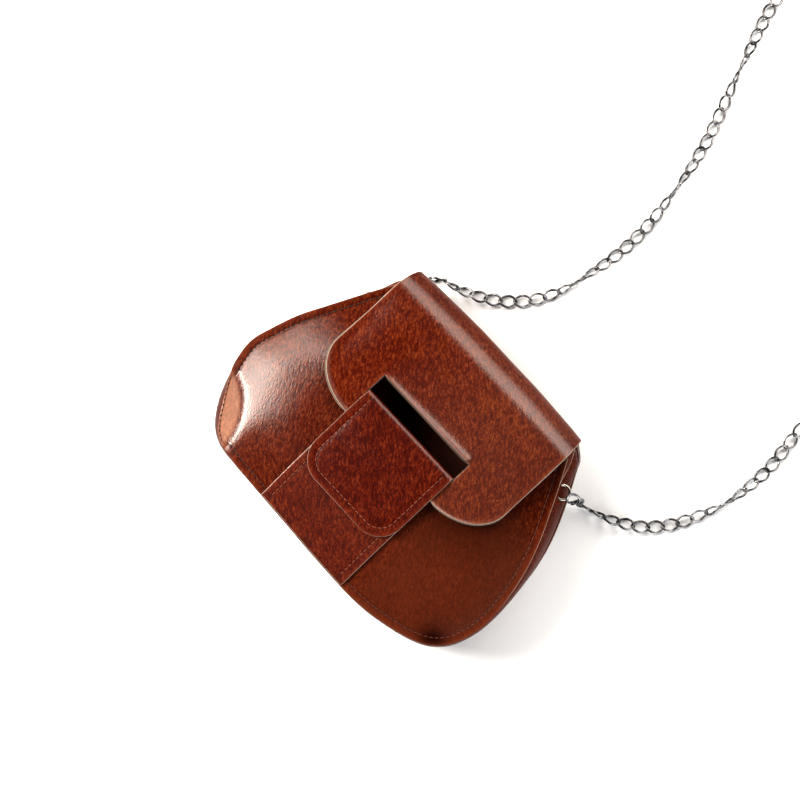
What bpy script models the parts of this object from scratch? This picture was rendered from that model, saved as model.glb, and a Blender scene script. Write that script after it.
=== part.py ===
"""Small leather saddle bag with a chain strap, lying on its back panel.

Metres. X runs across the bag, Y up from its bottom to the fold, Z out of the front panel.
The origin is the middle of the back panel, on the surface that the bag lies on.
"""

import math

import bmesh
import bpy
import numpy as np
from mathutils import Matrix, Vector

# Leather and clearances
LEATHER = 0.0014
GAP = 0.0003
SEAM_GAP = 0.0005

# Body
BODY_WIDTH = 0.1992
BODY_HEIGHT = 0.149
BORDER_HEIGHT = 0.037
DOME_RISE = 0.006
BORDER_FLAT = 0.008
DOME_REACH = 0.042
MOUTH_DROP = 0.068
MOUTH_SQUARENESS = 6

# Back panel: wider than the front near the fold and at one corner, and lifted near the fold,
# where the chain comes out from under it
CHAIN_ROOM = 0.002
LIFT_START_DROP = 0.060
BACK_FLARE_LEFT = 0.0
BACK_FLARE_RIGHT = 0.0082
BACK_INSET = 0.001
FLARE_END_DROP = 0.115
FLARE_RUN = 0.080
CORNER_FLARE = 0.007
CORNER_FLARE_REACH = 0.022

# Fold and flap
NECK_WIDTH = 0.128
NECK_ANGLE = math.radians(75)
FLAP_WIDTH = 0.1304
FLAP_LENGTH = 0.083
FLAP_CORNER_ACROSS = 0.032
FLAP_CORNER_DOWN = 0.024
FLAP_SETTLE = 0.035
SLOT_HEIGHT = 0.0135
SLOT_SIDE_CLEARANCE = 0.0008

# Closure strap and its folded tab
STRAP_WIDTH = 0.0652
TAB_LENGTH = 0.052
TAB_CORNER = 0.015
TAB_SETTLE = 0.013
STRAP_END_INSET = 0.0004

# Gusset: its upper ends stand apart from the front panel, and the left one is tucked in
FLANGE = 0.0045
GUSSET_BULGE = 0.0015
TUCK_DEPTH = 0.0075
TUCK_END_DROP = 0.075
TUCK_RUN = 0.035
SIDE_OPENING = 0.0024
SIDE_OPENING_DROP = 0.027
SIDE_OPENING_RUN = 0.014

# Rings, each through two holes in the gusset's wall
RING_WIRE = 0.0014
RING_RADIUS = 0.0040
RING_DROP = 0.028
RING_DEPTH = 0.0019
RING_TURN = math.radians(14)
RING_HANG_LEFT = math.radians(25)
RING_HANG_RIGHT = math.radians(12)
RING_HOLE_CLEARANCE = 0.0003

# Chain
CHAIN_WIDTH = 0.006
CHAIN_SPACING = 0.017
CHAIN_DROP_SPACING = 0.0055
CHAIN_DROP_RUN = 0.055

# Bent corner and dent of the front panel
CREASE_RADIUS = 0.0345
CREASE_SLOPE = math.tan(math.radians(26))
CREASE_SOFTNESS = 0.003
DENT_RADIUS = 0.012
DENT_DEPTH = 0.0025

# Resolution
OUTLINE_STEPS = 20
COLUMNS = 20
SIDE_ROWS = 20
ROW_CROWDING = 1.45
FOLD_ROWS = 14
FLAP_ROWS = 7
CORNER_ROWS = 7
STRAP_COLUMNS = 10
STRAP_ROWS = 16
STRAP_BEND_ROWS = 8
TAB_ROWS = 9
TAB_CORNER_ROWS = 6
GUSSET_STATIONS = 60
RING_SEGMENTS = 20
WIRE_SEGMENTS = 6
CHAIN_STEPS = 30
CHAIN_BEVEL_STEPS = 2

# Sewn outline of the front panel from its top left corner round the bottom to its top right one:
# (across, share of half the width; down, share of the height; whether a bottom corner is there)
OUTLINE = (
    (-0.655, 0.087, False),
    (-0.733, 0.188, False),
    (-0.836, 0.334, False),
    (-0.913, 0.445, False),
    (-0.963, 0.554, False),
    (-0.987, 0.628, False),
    (-0.974, 0.699, False),
    (-0.938, 0.772, False),
    (-0.869, 0.854, False),
    (-0.785, 0.932, True),
    (-0.693, 0.968, False),
    (-0.560, 0.980, False),
    (-0.376, 0.986, False),
    (-0.160, 0.991, False),
    (0.058, 0.997, False),
    (0.275, 1.000, False),
    (0.411, 0.999, False),
    (0.546, 0.989, False),
    (0.708, 0.964, False),
    (0.826, 0.935, False),
    (0.905, 0.900, True),
    (0.966, 0.845, False),
    (1.003, 0.765, False),
    (1.010, 0.683, False),
    (0.992, 0.590, False),
    (0.961, 0.502, False),
    (0.926, 0.431, False),
    (0.873, 0.348, False),
    (0.799, 0.252, False),
    (0.733, 0.170, False),
    (0.662, 0.087, False),
)

# Gusset across its width, from the front panel's edge to the back panel's:
# (outward, flanges wide; share of the bulge; share of the way to the back edge; height share)
GUSSET_SECTION = (
    (0.00, 0.0, 0.00, 1.000),
    (-0.80, 0.0, 0.00, 1.000),
    (-1.06, 0.0, 0.02, 0.968),
    (-1.02, 0.0, 0.05, 0.925),
    (-0.15, 0.3, 0.20, 0.800),
    (0.00, 1.0, 0.50, 0.500),
    (-0.15, 0.3, 0.80, 0.200),
    (-1.02, 0.0, 0.95, 0.075),
    (-1.06, 0.0, 0.98, 0.032),
    (-0.80, 0.0, 1.00, 0.000),
    (0.00, 0.0, 1.00, 0.000),
)
RING_ROW_LEFT = 5
RING_ROW_RIGHT = 4

# Places of the bent corner's centre, of the dent and of the back panel's wide corner:
# shares of half the width and of the height
CREASE_PLACE = (-1.000, 0.979)
DENT_PLACE = (0.894, 0.877)
CORNER_FLARE_PLACE = (-0.870, 0.870)

# Route of the chain where it lies on the surface, from the right side of the bag to the left:
# (across, share of half the width; up from the middle, share of the height)
CHAIN_ROUTE = (
    (0.969, 0.368),
    (1.068, 0.397),
    (1.213, 0.463),
    (1.318, 0.554),
    (1.387, 0.658),
    (1.433, 0.757),
    (1.451, 0.868),
    (1.449, 0.981),
    (1.410, 1.144),
    (1.355, 1.443),
    (1.365, 1.812),
    (1.436, 2.215),
    (1.466, 2.651),
    (1.315, 3.054),
    (0.884, 3.322),
    (0.341, 3.362),
    (-0.181, 3.174),
    (-0.472, 2.852),
    (-0.522, 2.497),
    (-0.445, 2.204),
    (-0.296, 1.927),
    (-0.109, 1.611),
    (-0.013, 1.322),
    (0.005, 1.135),
    (-0.025, 0.964),
    (-0.077, 0.821),
    (-0.171, 0.716),
    (-0.302, 0.634),
    (-0.459, 0.574),
    (-0.577, 0.544),
    (-0.640, 0.474),
    (-0.680, 0.410),
    (-0.722, 0.362),
)

# Way of the chain from a ring's end down to the surface:
# (share of the way out to where it clears the back panel, share of the ring's height)
CHAIN_DROP = (
    (0.96, 0.66),
    (1.00, 0.24),
)

# Sizes that follow from those above
TOP_Y = BODY_HEIGHT / 2
BACK_LIFT = CHAIN_WIDTH + CHAIN_ROOM
FRONT_TOP_Z = BORDER_HEIGHT + DOME_RISE + 2 * GAP + 2 * LEATHER
FOLD_RADIUS = (FRONT_TOP_Z - BACK_LIFT) / 2
FOLD_CENTRE_Y = TOP_Y - FOLD_RADIUS
FOLD_CENTRE_Z = BACK_LIFT + FOLD_RADIUS
STRAP_BEND_RADIUS = LEATHER + GAP
SLOT_TOP_Y = TOP_Y - MOUTH_DROP + SLOT_HEIGHT
SLOT_BOTTOM_Y = TOP_Y - MOUTH_DROP - GAP
CHAIN_RADIUS = CHAIN_WIDTH / 2


def smoothstep(value):
    """Smooth rise from 0 to 1 as value goes from 0 to 1."""
    value = np.clip(value, 0.0, 1.0)
    return value * value * (3.0 - 2.0 * value)


def mix(start, end, share):
    """Point or number at a share of the way from start to end."""
    return start + (end - start) * share


def spline(points, steps):
    """Points along a smooth curve through all the given points, some steps to each span."""
    points = np.array(points, dtype=float)
    before = 2 * points[0] - points[1]
    after = 2 * points[-1] - points[-2]
    padded = np.vstack([before, points, after])
    curve = []
    for index in range(len(points) - 1):
        a, b, c, d = padded[index:index + 4]
        for step in range(steps):
            t = step / steps
            curve.append(0.5 * (2 * b + (c - a) * t + (2 * a - 5 * b + 4 * c - d) * t ** 2
                                + (3 * b - a - 3 * c + d) * t ** 3))
    curve.append(points[-1])
    return np.array(curve)


def arc_lengths(line):
    """Distance along a line to each of its points."""
    spans = np.linalg.norm(np.diff(line, axis=0), axis=1)
    return np.concatenate([[0.0], np.cumsum(spans)])


def along(line, distances):
    """Points at the given distances along a line."""
    lengths = arc_lengths(line)
    return np.stack([np.interp(distances, lengths, line[:, axis]) for axis in range(line.shape[1])],
                    axis=-1)


def outward(line):
    """Unit normals of a plane line that runs round the body with its inside on the left."""
    tangent = np.gradient(line, axis=0)
    tangent /= np.linalg.norm(tangent, axis=1, keepdims=True)
    return np.stack([tangent[:, 1], -tangent[:, 0]], axis=-1)


def place(across, down):
    """Plane point from shares of half the width and of the height."""
    return (across * BODY_WIDTH / 2, TOP_Y - down * BODY_HEIGHT)


FRONT_LINE = spline([place(across, down) for across, down, corner in OUTLINE], OUTLINE_STEPS)
CORNERS = [row * OUTLINE_STEPS for row, (across, down, corner) in enumerate(OUTLINE) if corner]


def back_flare(x, y):
    """How far the back panel reaches past the front one beside a point of the outline."""
    side_flare = np.where(x < 0.0, BACK_FLARE_LEFT, BACK_FLARE_RIGHT)
    drop = TOP_Y - y
    centre_x, centre_y = place(*CORNER_FLARE_PLACE)
    apart = ((x - centre_x) ** 2 + (y - centre_y) ** 2) / CORNER_FLARE_REACH ** 2
    return (side_flare * smoothstep((FLARE_END_DROP - drop) / FLARE_RUN)
            + CORNER_FLARE * np.exp(-apart) - BACK_INSET)


BACK_LINE = FRONT_LINE + outward(FRONT_LINE) * back_flare(*FRONT_LINE.T)[:, None]


def back_z(y):
    """Height of the back panel's resting face, which lifts toward the fold and turns up in it."""
    drop = TOP_Y - y
    lift = BACK_LIFT * smoothstep((LIFT_START_DROP - drop) / (LIFT_START_DROP - FOLD_RADIUS))
    rise = np.clip(y - FOLD_CENTRE_Y, 0.0, FOLD_RADIUS)
    return lift + FOLD_RADIUS - np.sqrt(FOLD_RADIUS ** 2 - rise ** 2)


def edge_distance(x, y):
    """Smooth distance from each point to the sewn outline, exact beside a straight edge."""
    middles = (FRONT_LINE[1:] + FRONT_LINE[:-1]) / 2
    spans = np.linalg.norm(np.diff(FRONT_LINE, axis=0), axis=1)
    flat = np.stack([np.ravel(x), np.ravel(y)], axis=-1)
    apart = np.linalg.norm(flat[:, None, :] - middles[None, :, :], axis=2)
    nearness = (spans / np.maximum(apart, spans) ** 4).sum(axis=1) * 2 / math.pi
    return (nearness ** (-1 / 3)).reshape(np.shape(x))


def corner_drop(x, y):
    """How far the bent lower left corner falls away inside its crease."""
    centre_x, centre_y = place(*CREASE_PLACE)
    inside = CREASE_RADIUS - np.hypot(x - centre_x, y - centre_y)
    return CREASE_SLOPE * CREASE_SOFTNESS * np.logaddexp(0.0, inside / CREASE_SOFTNESS)


def dent_drop(x, y):
    """Depth of the dent by the lower right corner."""
    centre_x, centre_y = place(*DENT_PLACE)
    return DENT_DEPTH * np.exp(-((x - centre_x) ** 2 + (y - centre_y) ** 2) / DENT_RADIUS ** 2)


def front_z(x, y):
    """Height of the front panel's outer face."""
    rise = smoothstep((edge_distance(x, y) - BORDER_FLAT) / DOME_REACH)
    return BORDER_HEIGHT + DOME_RISE * rise - corner_drop(x, y) - dent_drop(x, y)


def new_collection(name):
    """Collection linked to the scene."""
    collection = bpy.data.collections.new(name)
    bpy.context.scene.collection.children.link(collection)
    return collection


def new_material(name, color, roughness, metallic):
    """Principled material of one colour."""
    material = bpy.data.materials.new(name)
    material.use_nodes = True
    shader = material.node_tree.nodes["Principled BSDF"]
    shader.inputs["Base Color"].default_value = (*color, 1.0)
    shader.inputs["Roughness"].default_value = roughness
    shader.inputs["Metallic"].default_value = metallic
    material.diffuse_color = (*color, 1.0)
    return material


def add_sheet(name, grid, material, collection, offset):
    """Leather wall from a grid of points: rows, columns, xyz."""
    rows, columns, _ = grid.shape
    mesh = bpy.data.meshes.new(name)
    work = bmesh.new()
    verts = [[work.verts.new(point) for point in row] for row in grid]
    for row in range(rows - 1):
        for column in range(columns - 1):
            work.faces.new((verts[row][column], verts[row + 1][column],
                            verts[row + 1][column + 1], verts[row][column + 1]))
    work.to_mesh(mesh)
    work.free()
    mesh.shade_smooth()
    sheet = bpy.data.objects.new(name, mesh)
    mesh.materials.append(material)
    collection.objects.link(sheet)
    wall = sheet.modifiers.new("Wall", "SOLIDIFY")
    wall.thickness = LEATHER
    wall.offset = offset
    wall.use_even_offset = True
    wall.use_rim = True
    return sheet


def hide_cutter(cutter):
    """Marks an object as a cutter."""
    cutter.hide_render = True
    cutter.display_type = "WIRE"


def cut(target, cutter):
    """Cuts one object out of another."""
    boolean = target.modifiers.new(cutter.name, "BOOLEAN")
    boolean.operation = "DIFFERENCE"
    boolean.solver = "EXACT"
    boolean.object = cutter


def move_to(collection, item):
    """Moves an object that an operator made to a collection."""
    for owner in list(item.users_collection):
        owner.objects.unlink(item)
    collection.objects.link(item)


def patch(left, right, bottom, top):
    """Plane grid between four edges. Left and right run down, bottom and top run to the right."""
    across = np.linspace(0.0, 1.0, len(top))[None, :, None]
    down = row_shares()[:, None, None]
    sides = mix(left[:, None, :], right[:, None, :], across)
    ends = mix(top[None, :, :], bottom[None, :, :], down)
    corners = mix(mix(left[0], right[0], across), mix(left[-1], right[-1], across), down)
    return sides + ends - corners


def row_shares():
    """Shares of the way down a panel where its rows lie, closer together toward the fold."""
    return np.linspace(0.0, 1.0, SIDE_ROWS + 1) ** ROW_CROWDING


def outline_edges(line):
    """The left, right and bottom edges of an outline."""
    lengths = arc_lengths(line)
    left_end, right_end = lengths[CORNERS[0]], lengths[CORNERS[1]]
    left = along(line, mix(0.0, left_end, row_shares()))
    right = along(line, mix(lengths[-1], right_end, row_shares()))
    bottom = along(line, np.linspace(left_end, right_end, COLUMNS + 1))
    return left, right, bottom


def mouth_edge():
    """Top edge of the front panel, scooped between its two top corners."""
    share = np.linspace(0.0, 1.0, COLUMNS + 1)
    # points crowd toward the ends, where the edge is steep
    share = 0.5 - 0.5 * np.cos(math.pi * share)
    x = mix(FRONT_LINE[0, 0], FRONT_LINE[-1, 0], share)
    corner_y = mix(FRONT_LINE[0, 1], FRONT_LINE[-1, 1], share)
    scoop = 1.0 - np.abs(2.0 * share - 1.0) ** MOUTH_SQUARENESS
    return np.stack([x, mix(corner_y, TOP_Y - MOUTH_DROP, scoop)], axis=-1)


def lift_grid(plane, height):
    """Grid of plane points raised to a height at each point."""
    x, y = plane[..., 0], plane[..., 1]
    return np.stack([x, y, height(x, y)], axis=-1)


def flap_face_z(x, y):
    """Height of the flap's outer face, level at the fold and settling on the front panel."""
    settled = front_z(x, y) + 2 * GAP + 2 * LEATHER
    return mix(FRONT_TOP_Z, settled, smoothstep((FOLD_CENTRE_Y - y) / FLAP_SETTLE))


def row_across(left, right):
    """Evenly spaced values across one row."""
    return np.linspace(left, right, COLUMNS + 1)


def back_rows():
    """Back panel from its bottom edge up to the point where the fold's own rows take over."""
    left, right, bottom = outline_edges(BACK_LINE)
    top = np.linspace(left[0], right[0], COLUMNS + 1)
    plane = patch(left, right, bottom, top)[::-1]
    return list(lift_grid(plane, lambda x, y: back_z(y)))


def fold_half_width(edge_x, start, angle):
    """Distance of the fold's side from the middle, at an angle round the fold."""
    narrowing = smoothstep((angle - start) / (NECK_ANGLE - start))
    widening = smoothstep((angle - NECK_ANGLE) / (math.pi - NECK_ANGLE))
    return mix(abs(edge_x), mix(NECK_WIDTH, FLAP_WIDTH, widening) / 2, narrowing)


def fold_rows():
    """Half-round fold, from the back panel's top row to the start of the flap."""
    ends_y = row_across(BACK_LINE[0, 1], BACK_LINE[-1, 1])
    start = np.arcsin((ends_y - FOLD_CENTRE_Y) / FOLD_RADIUS)
    rows = []
    for step in range(1, FOLD_ROWS + 1):
        angle = mix(start, math.pi, step / FOLD_ROWS)
        x = row_across(-fold_half_width(BACK_LINE[0, 0], start[0], angle[0]),
                       fold_half_width(BACK_LINE[-1, 0], start[-1], angle[-1]))
        rows.append(np.stack([x, FOLD_CENTRE_Y + FOLD_RADIUS * np.sin(angle),
                              FOLD_CENTRE_Z - FOLD_RADIUS * np.cos(angle)], axis=-1))
    return rows


def flap_rows():
    """Flap from the fold down to its edge, with rounded lower corners."""
    straight_end = FLAP_LENGTH - FLAP_CORNER_DOWN
    spans = [(drop, FLAP_WIDTH / 2)
             for drop in np.linspace(FOLD_RADIUS, straight_end, FLAP_ROWS + 1)[1:]]
    for angle in np.linspace(0.0, math.pi / 2, CORNER_ROWS + 1)[1:]:
        spans.append((straight_end + FLAP_CORNER_DOWN * math.sin(angle),
                      FLAP_WIDTH / 2 - FLAP_CORNER_ACROSS * (1.0 - math.cos(angle))))
    rows = []
    for drop, half in spans:
        x = row_across(-half, half)
        y = np.full_like(x, TOP_Y - drop)
        rows.append(np.stack([x, y, flap_face_z(x, y)], axis=-1))
    return rows


def make_back_flap(leather, parts, cutters):
    """Back panel, fold and flap in one wall, with the strap's slot cut through the flap."""
    grid = np.array(back_rows() + fold_rows() + flap_rows())
    sheet = add_sheet("back_flap", grid, leather, parts, -1.0)
    bpy.ops.mesh.primitive_cube_add(size=1.0)
    slot = bpy.context.object
    slot.name = "slot_cutter"
    slot.scale = (STRAP_WIDTH + 2 * SLOT_SIDE_CLEARANCE, SLOT_TOP_Y - SLOT_BOTTOM_Y,
                  FOLD_RADIUS)
    slot.location = (0.0, (SLOT_TOP_Y + SLOT_BOTTOM_Y) / 2, FRONT_TOP_Z)
    hide_cutter(slot)
    move_to(cutters, slot)
    cut(sheet, slot)
    return sheet


def make_front_panel(leather, parts):
    """Domed front panel with its scooped mouth edge."""
    left, right, bottom = outline_edges(FRONT_LINE)
    grid = lift_grid(patch(left, right, bottom, mouth_edge()), front_z)
    return add_sheet("front_panel", grid, leather, parts, -1.0)


def gusset_points(line, normals, section_row):
    """Points of the gusset's wall beside each point of the outline, for one row of its section."""
    out, bulge, back_share, height_share = section_row
    drop = TOP_Y - line[:, 1]
    opening = SIDE_OPENING * smoothstep((SIDE_OPENING_DROP - drop) / SIDE_OPENING_RUN)
    tuck = TUCK_DEPTH * smoothstep((TUCK_END_DROP - drop) / TUCK_RUN)
    swell = GUSSET_BULGE - np.where(line[:, 0] < 0.0, tuck, 0.0)
    offset = (out * FLANGE + bulge * swell + back_share * back_flare(*line.T)
              + height_share * opening)
    plane = line + normals * offset[:, None]
    low = back_z(plane[:, 1]) + 1.5 * LEATHER + SEAM_GAP
    high = front_z(*plane.T) - 1.5 * LEATHER - SEAM_GAP - opening
    return np.column_stack([plane, mix(low, high, height_share)])


def make_gusset(leather, parts):
    """Side and bottom strip between the two panels, with a flange along each."""
    lengths = arc_lengths(FRONT_LINE)
    line = along(FRONT_LINE, np.linspace(0.0, lengths[-1], GUSSET_STATIONS + 1))
    normals = outward(line)
    columns = [gusset_points(line, normals, row) for row in GUSSET_SECTION]
    return add_sheet("gusset", np.array(columns), leather, parts, 0.0)


def bottom_y(x):
    """Height on the bag of the sewn bottom edge at a place across it."""
    lower = FRONT_LINE[CORNERS[0]:CORNERS[1] + 1]
    return np.interp(x, lower[:, 0], lower[:, 1])


def make_closure_strap(leather, parts):
    """Strap up the front panel, round the flap's lip and down again as a rounded tab."""
    bend_y = TOP_Y - MOUTH_DROP
    lip_end_y = TOP_Y - FLAP_LENGTH - LEATHER
    half = STRAP_WIDTH / 2
    x = np.linspace(-half, half, STRAP_COLUMNS + 1)
    rows = []
    for share in np.linspace(0.0, 1.0, STRAP_ROWS + 1):
        y = mix(bottom_y(x) + STRAP_END_INSET, bend_y, share)
        rows.append(np.stack([x, y, front_z(x, y) + GAP + LEATHER / 2], axis=-1))
    level = np.full_like(x, bend_y)
    bend_z = front_z(x, level) + GAP + LEATHER / 2 + STRAP_BEND_RADIUS
    for angle in np.linspace(0.0, math.pi, STRAP_BEND_ROWS + 1)[1:]:
        rows.append(np.stack([x, level + STRAP_BEND_RADIUS * math.sin(angle),
                              bend_z - STRAP_BEND_RADIUS * math.cos(angle)], axis=-1))
    straight = TAB_LENGTH - TAB_CORNER
    spans = [(run, half) for run in np.linspace(0.0, straight, TAB_ROWS + 1)[1:]]
    for angle in np.linspace(0.0, math.pi / 2, TAB_CORNER_ROWS + 1)[1:]:
        spans.append((straight + TAB_CORNER * math.sin(angle),
                      half - TAB_CORNER * (1.0 - math.cos(angle))))
    for run, reach in spans:
        x = np.linspace(-reach, reach, STRAP_COLUMNS + 1)
        y = np.full_like(x, bend_y - run)
        settle = smoothstep((lip_end_y - y) / TAB_SETTLE)
        z = front_z(x, y) + 1.5 * LEATHER + 2 * GAP + (LEATHER + GAP) * (1.0 - settle)
        rows.append(np.stack([x, y, z], axis=-1))
    return add_sheet("closure_strap", np.array(rows)[:, ::-1], leather, parts, 0.0)


def beside_ring(line, side):
    """Place in an outline's list of points that lies level with the ring on one side."""
    away = np.abs(line[:, 1] - TOP_Y + RING_DROP)
    return int(np.argmin(np.where(line[:, 0] * side > 0.0, away, BODY_HEIGHT)))


def ring_frame(side):
    """Matrix of a ring: its first axis leads out of the bag and its second lies along the side."""
    hang, row = (RING_HANG_LEFT, RING_ROW_LEFT) if side < 0 else (RING_HANG_RIGHT, RING_ROW_RIGHT)
    index = beside_ring(FRONT_LINE, side)
    normals = outward(FRONT_LINE)
    wall = gusset_points(FRONT_LINE[index:index + 1], normals[index:index + 1],
                         GUSSET_SECTION[row])[0]
    level = Vector((side * math.cos(RING_TURN), math.sin(RING_TURN), 0.0))
    beside = Vector((-level.y, level.x, 0.0))
    out = level * math.cos(hang) - Vector((0.0, 0.0, math.sin(hang)))
    centre = Vector(wall) + out * (RING_RADIUS - RING_DEPTH)
    axes = Matrix((out, beside, out.cross(beside))).transposed()
    return Matrix.Translation(centre) @ axes.to_4x4()


def add_ring(name, frame, wire):
    """Torus in a ring's place, with a wire of the given diameter."""
    bpy.ops.mesh.primitive_torus_add(major_radius=RING_RADIUS, minor_radius=wire / 2,
                                     major_segments=RING_SEGMENTS, minor_segments=WIRE_SEGMENTS)
    ring = bpy.context.object
    ring.name = name
    ring.data.name = name
    ring.matrix_world = frame
    return ring


def make_ring(name, side, metal, parts, cutters, wall):
    """Ring through the gusset on one side of the bag, and its holes."""
    frame = ring_frame(side)
    ring = add_ring(name, frame, RING_WIRE)
    ring.data.materials.append(metal)
    ring.data.shade_smooth()
    move_to(parts, ring)
    hole = add_ring(name + "_hole_cutter", frame, RING_WIRE + 2 * RING_HOLE_CLEARANCE)
    hide_cutter(hole)
    move_to(cutters, hole)
    cut(wall, hole)
    return ring


def chain_drop(side):
    """Points down the side of the bag: from the ring to just above the surface."""
    frame = ring_frame(side)
    start = frame @ Vector((RING_RADIUS + RING_WIRE / 2 + GAP, 0.0, 0.0))
    turn = frame @ Vector((RING_RADIUS + RING_WIRE / 2 + GAP + CHAIN_RADIUS / 2, 0.0, 0.0))
    clear_x = side * (abs(BACK_LINE[beside_ring(BACK_LINE, side), 0]) + CHAIN_RADIUS + 2 * SEAM_GAP)
    fall = [(mix(turn.x, clear_x, out), turn.y + out * CHAIN_RADIUS / 2,
             mix(CHAIN_RADIUS, turn.z, height)) for out, height in CHAIN_DROP]
    return [tuple(start), tuple(turn)] + fall


def chain_line():
    """Middle line of the chain: down from the right ring, round its route and up to the left one."""
    floor = [(across * BODY_WIDTH / 2, up * BODY_HEIGHT, CHAIN_RADIUS) for across, up in CHAIN_ROUTE]
    line = spline(chain_drop(1) + floor + chain_drop(-1)[::-1], CHAIN_STEPS)
    line[:, 2] = np.maximum(line[:, 2], CHAIN_RADIUS)
    return line


def make_chain(metal, parts):
    """Tube along the chain's whole loop."""
    line = chain_line()
    total = arc_lengths(line)[-1]
    drop_steps = round(CHAIN_DROP_RUN / CHAIN_DROP_SPACING)
    floor_steps = round((total - 2 * CHAIN_DROP_RUN) / CHAIN_SPACING)
    stops = np.concatenate([np.linspace(0.0, CHAIN_DROP_RUN, drop_steps + 1)[:-1],
                            np.linspace(CHAIN_DROP_RUN, total - CHAIN_DROP_RUN, floor_steps + 1)[:-1],
                            np.linspace(total - CHAIN_DROP_RUN, total, drop_steps + 1)])
    points = along(line, stops)
    curve = bpy.data.curves.new("shoulder_chain", "CURVE")
    curve.dimensions = "3D"
    curve.bevel_depth = CHAIN_RADIUS
    curve.bevel_resolution = CHAIN_BEVEL_STEPS
    curve.use_fill_caps = True
    run = curve.splines.new("POLY")
    run.points.add(len(points) - 1)
    for target, point in zip(run.points, points):
        target.co = (*point, 1.0)
    chain = bpy.data.objects.new("shoulder_chain", curve)
    curve.materials.append(metal)
    parts.objects.link(chain)
    return chain


def main():
    for item in list(bpy.data.objects):
        bpy.data.objects.remove(item)
    parts = new_collection("chain_shoulder_bag")
    cutters = new_collection("cutters")
    shell = new_material("brown_leather", (0.23, 0.06, 0.02), 0.35, 0.0)
    panel = new_material("front_leather", (0.21, 0.055, 0.018), 0.35, 0.0)
    side = new_material("gusset_leather", (0.17, 0.045, 0.016), 0.4, 0.0)
    strap = new_material("strap_leather", (0.22, 0.06, 0.02), 0.35, 0.0)
    ring_metal = new_material("ring_metal", (0.78, 0.74, 0.66), 0.2, 1.0)
    chain_metal = new_material("chain_metal", (0.70, 0.70, 0.70), 0.2, 1.0)

    make_back_flap(shell, parts, cutters)
    make_front_panel(panel, parts)
    gusset = make_gusset(side, parts)
    make_closure_strap(strap, parts)
    make_ring("ring_left", -1, ring_metal, parts, cutters, gusset)
    make_ring("ring_right", 1, ring_metal, parts, cutters, gusset)
    make_chain(chain_metal, parts)


main()
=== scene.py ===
"""Dresses the leather shoulder bag: its walls with their cut edges and stitches, the rings, the
chain's links, the surface that it lies on, the lights and the camera.

Metres, in the part's frame.
"""

import math

import bpy
import numpy as np
from mathutils import Matrix, Vector, noise


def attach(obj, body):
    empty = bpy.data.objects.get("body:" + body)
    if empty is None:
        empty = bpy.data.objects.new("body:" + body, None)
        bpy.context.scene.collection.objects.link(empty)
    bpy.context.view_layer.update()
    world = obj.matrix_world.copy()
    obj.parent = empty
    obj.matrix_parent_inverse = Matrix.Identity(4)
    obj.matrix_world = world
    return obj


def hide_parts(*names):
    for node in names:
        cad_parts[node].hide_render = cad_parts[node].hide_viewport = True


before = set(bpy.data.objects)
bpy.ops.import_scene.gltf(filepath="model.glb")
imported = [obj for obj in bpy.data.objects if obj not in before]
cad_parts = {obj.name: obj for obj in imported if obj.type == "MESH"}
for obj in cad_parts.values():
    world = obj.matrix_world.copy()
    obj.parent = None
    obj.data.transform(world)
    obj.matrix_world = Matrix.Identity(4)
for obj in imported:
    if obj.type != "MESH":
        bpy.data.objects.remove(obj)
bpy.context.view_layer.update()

# Leather and clearances
LEATHER = 0.0014
GAP = 0.0003
SEAM_GAP = 0.0005

# Body
BODY_WIDTH = 0.1992
BODY_HEIGHT = 0.149
BORDER_HEIGHT = 0.037
DOME_SLOPE = math.tan(math.radians(22.5))
DOME_START = 0.0045
DOME_REACH = 0.028
DOME_SOFTNESS = 0.008
DOME_EASE = 0.2
DOME_EASE_UP = (0.003, 0.053)
MOUTH_DROP = 0.068
MOUTH_SQUARENESS = 6

# Back panel
CHAIN_ROOM = 0.002
LIFT_START_DROP = 0.060
BACK_FLARE_LEFT = 0.0
BACK_FLARE_RIGHT = 0.0082
BACK_INSET = 0.001
FLARE_DROPS = (0.115, 0.035)
CORNER_FLARE = 0.007
CORNER_FLARE_REACH = 0.022

# Fold and flap
FOLD_RISE = 0.006
FOLD_BOW = 0.002
NECK_WIDTH = 0.1264
NECK_ANGLE = math.radians(75)
FLAP_WIDTH = 0.1304
FLAP_LENGTH = 0.083
FLAP_CORNER_ACROSS = 0.032
FLAP_CORNER_DOWN = 0.024
FLAP_SETTLE = 0.035
SLOT_HEIGHT = 0.0135
SLOT_SIDE_CLEARANCE = 0.0008
LIP_RISE = 0.0022
LIP_REACH = 0.0023
LIP_FADE = 0.004
LIP_LEFT_SHARE = 0.55
CURL_RISE = 0.0016
CURL_REACH = 0.0022
CURL_LEAST = 0.15
CURL_DROPS_LEFT = (0.030, 0.055)
CURL_DROPS_RIGHT = (0.052, 0.064)
CURL_RIGHT_SHARE = 0.55
FLAP_BEVEL = 0.0004

# Closure strap and its folded tab
STRAP_WIDTH = 0.0652
TAB_LENGTH = 0.0520
TAB_CORNER = 0.015
TAB_SETTLE = 0.013
STRAP_END_INSET = 0.0004
PILLOW = 0.0003
PILLOW_REACH = 0.003
TAB_CURL_RISE = 0.0005
TAB_CURL_REACH = 0.0016
TAB_CURL_LOSS = 0.85
TAB_CURL_ACROSS = (-0.2, 0.6)
TAB_PUFF_RUN = 0.012
TAB_RELIEF_RUN = 0.01
TAB_SEAM_START = 0.0005
TAB_EASE = 0.003
TAB_BEVEL = 0.0003

# Gusset
FLANGE = 0.0045
GUSSET_BULGE = 0.0008
TUCK_DEPTH = 0.0075
TUCK_DROPS = (0.075, 0.040)
SIDE_OPENING = 0.0024
SIDE_OPENING_DROPS = (0.027, 0.013)
GUSSET_REACH = 0.0060
NECK_SHARE = 0.25

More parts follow.
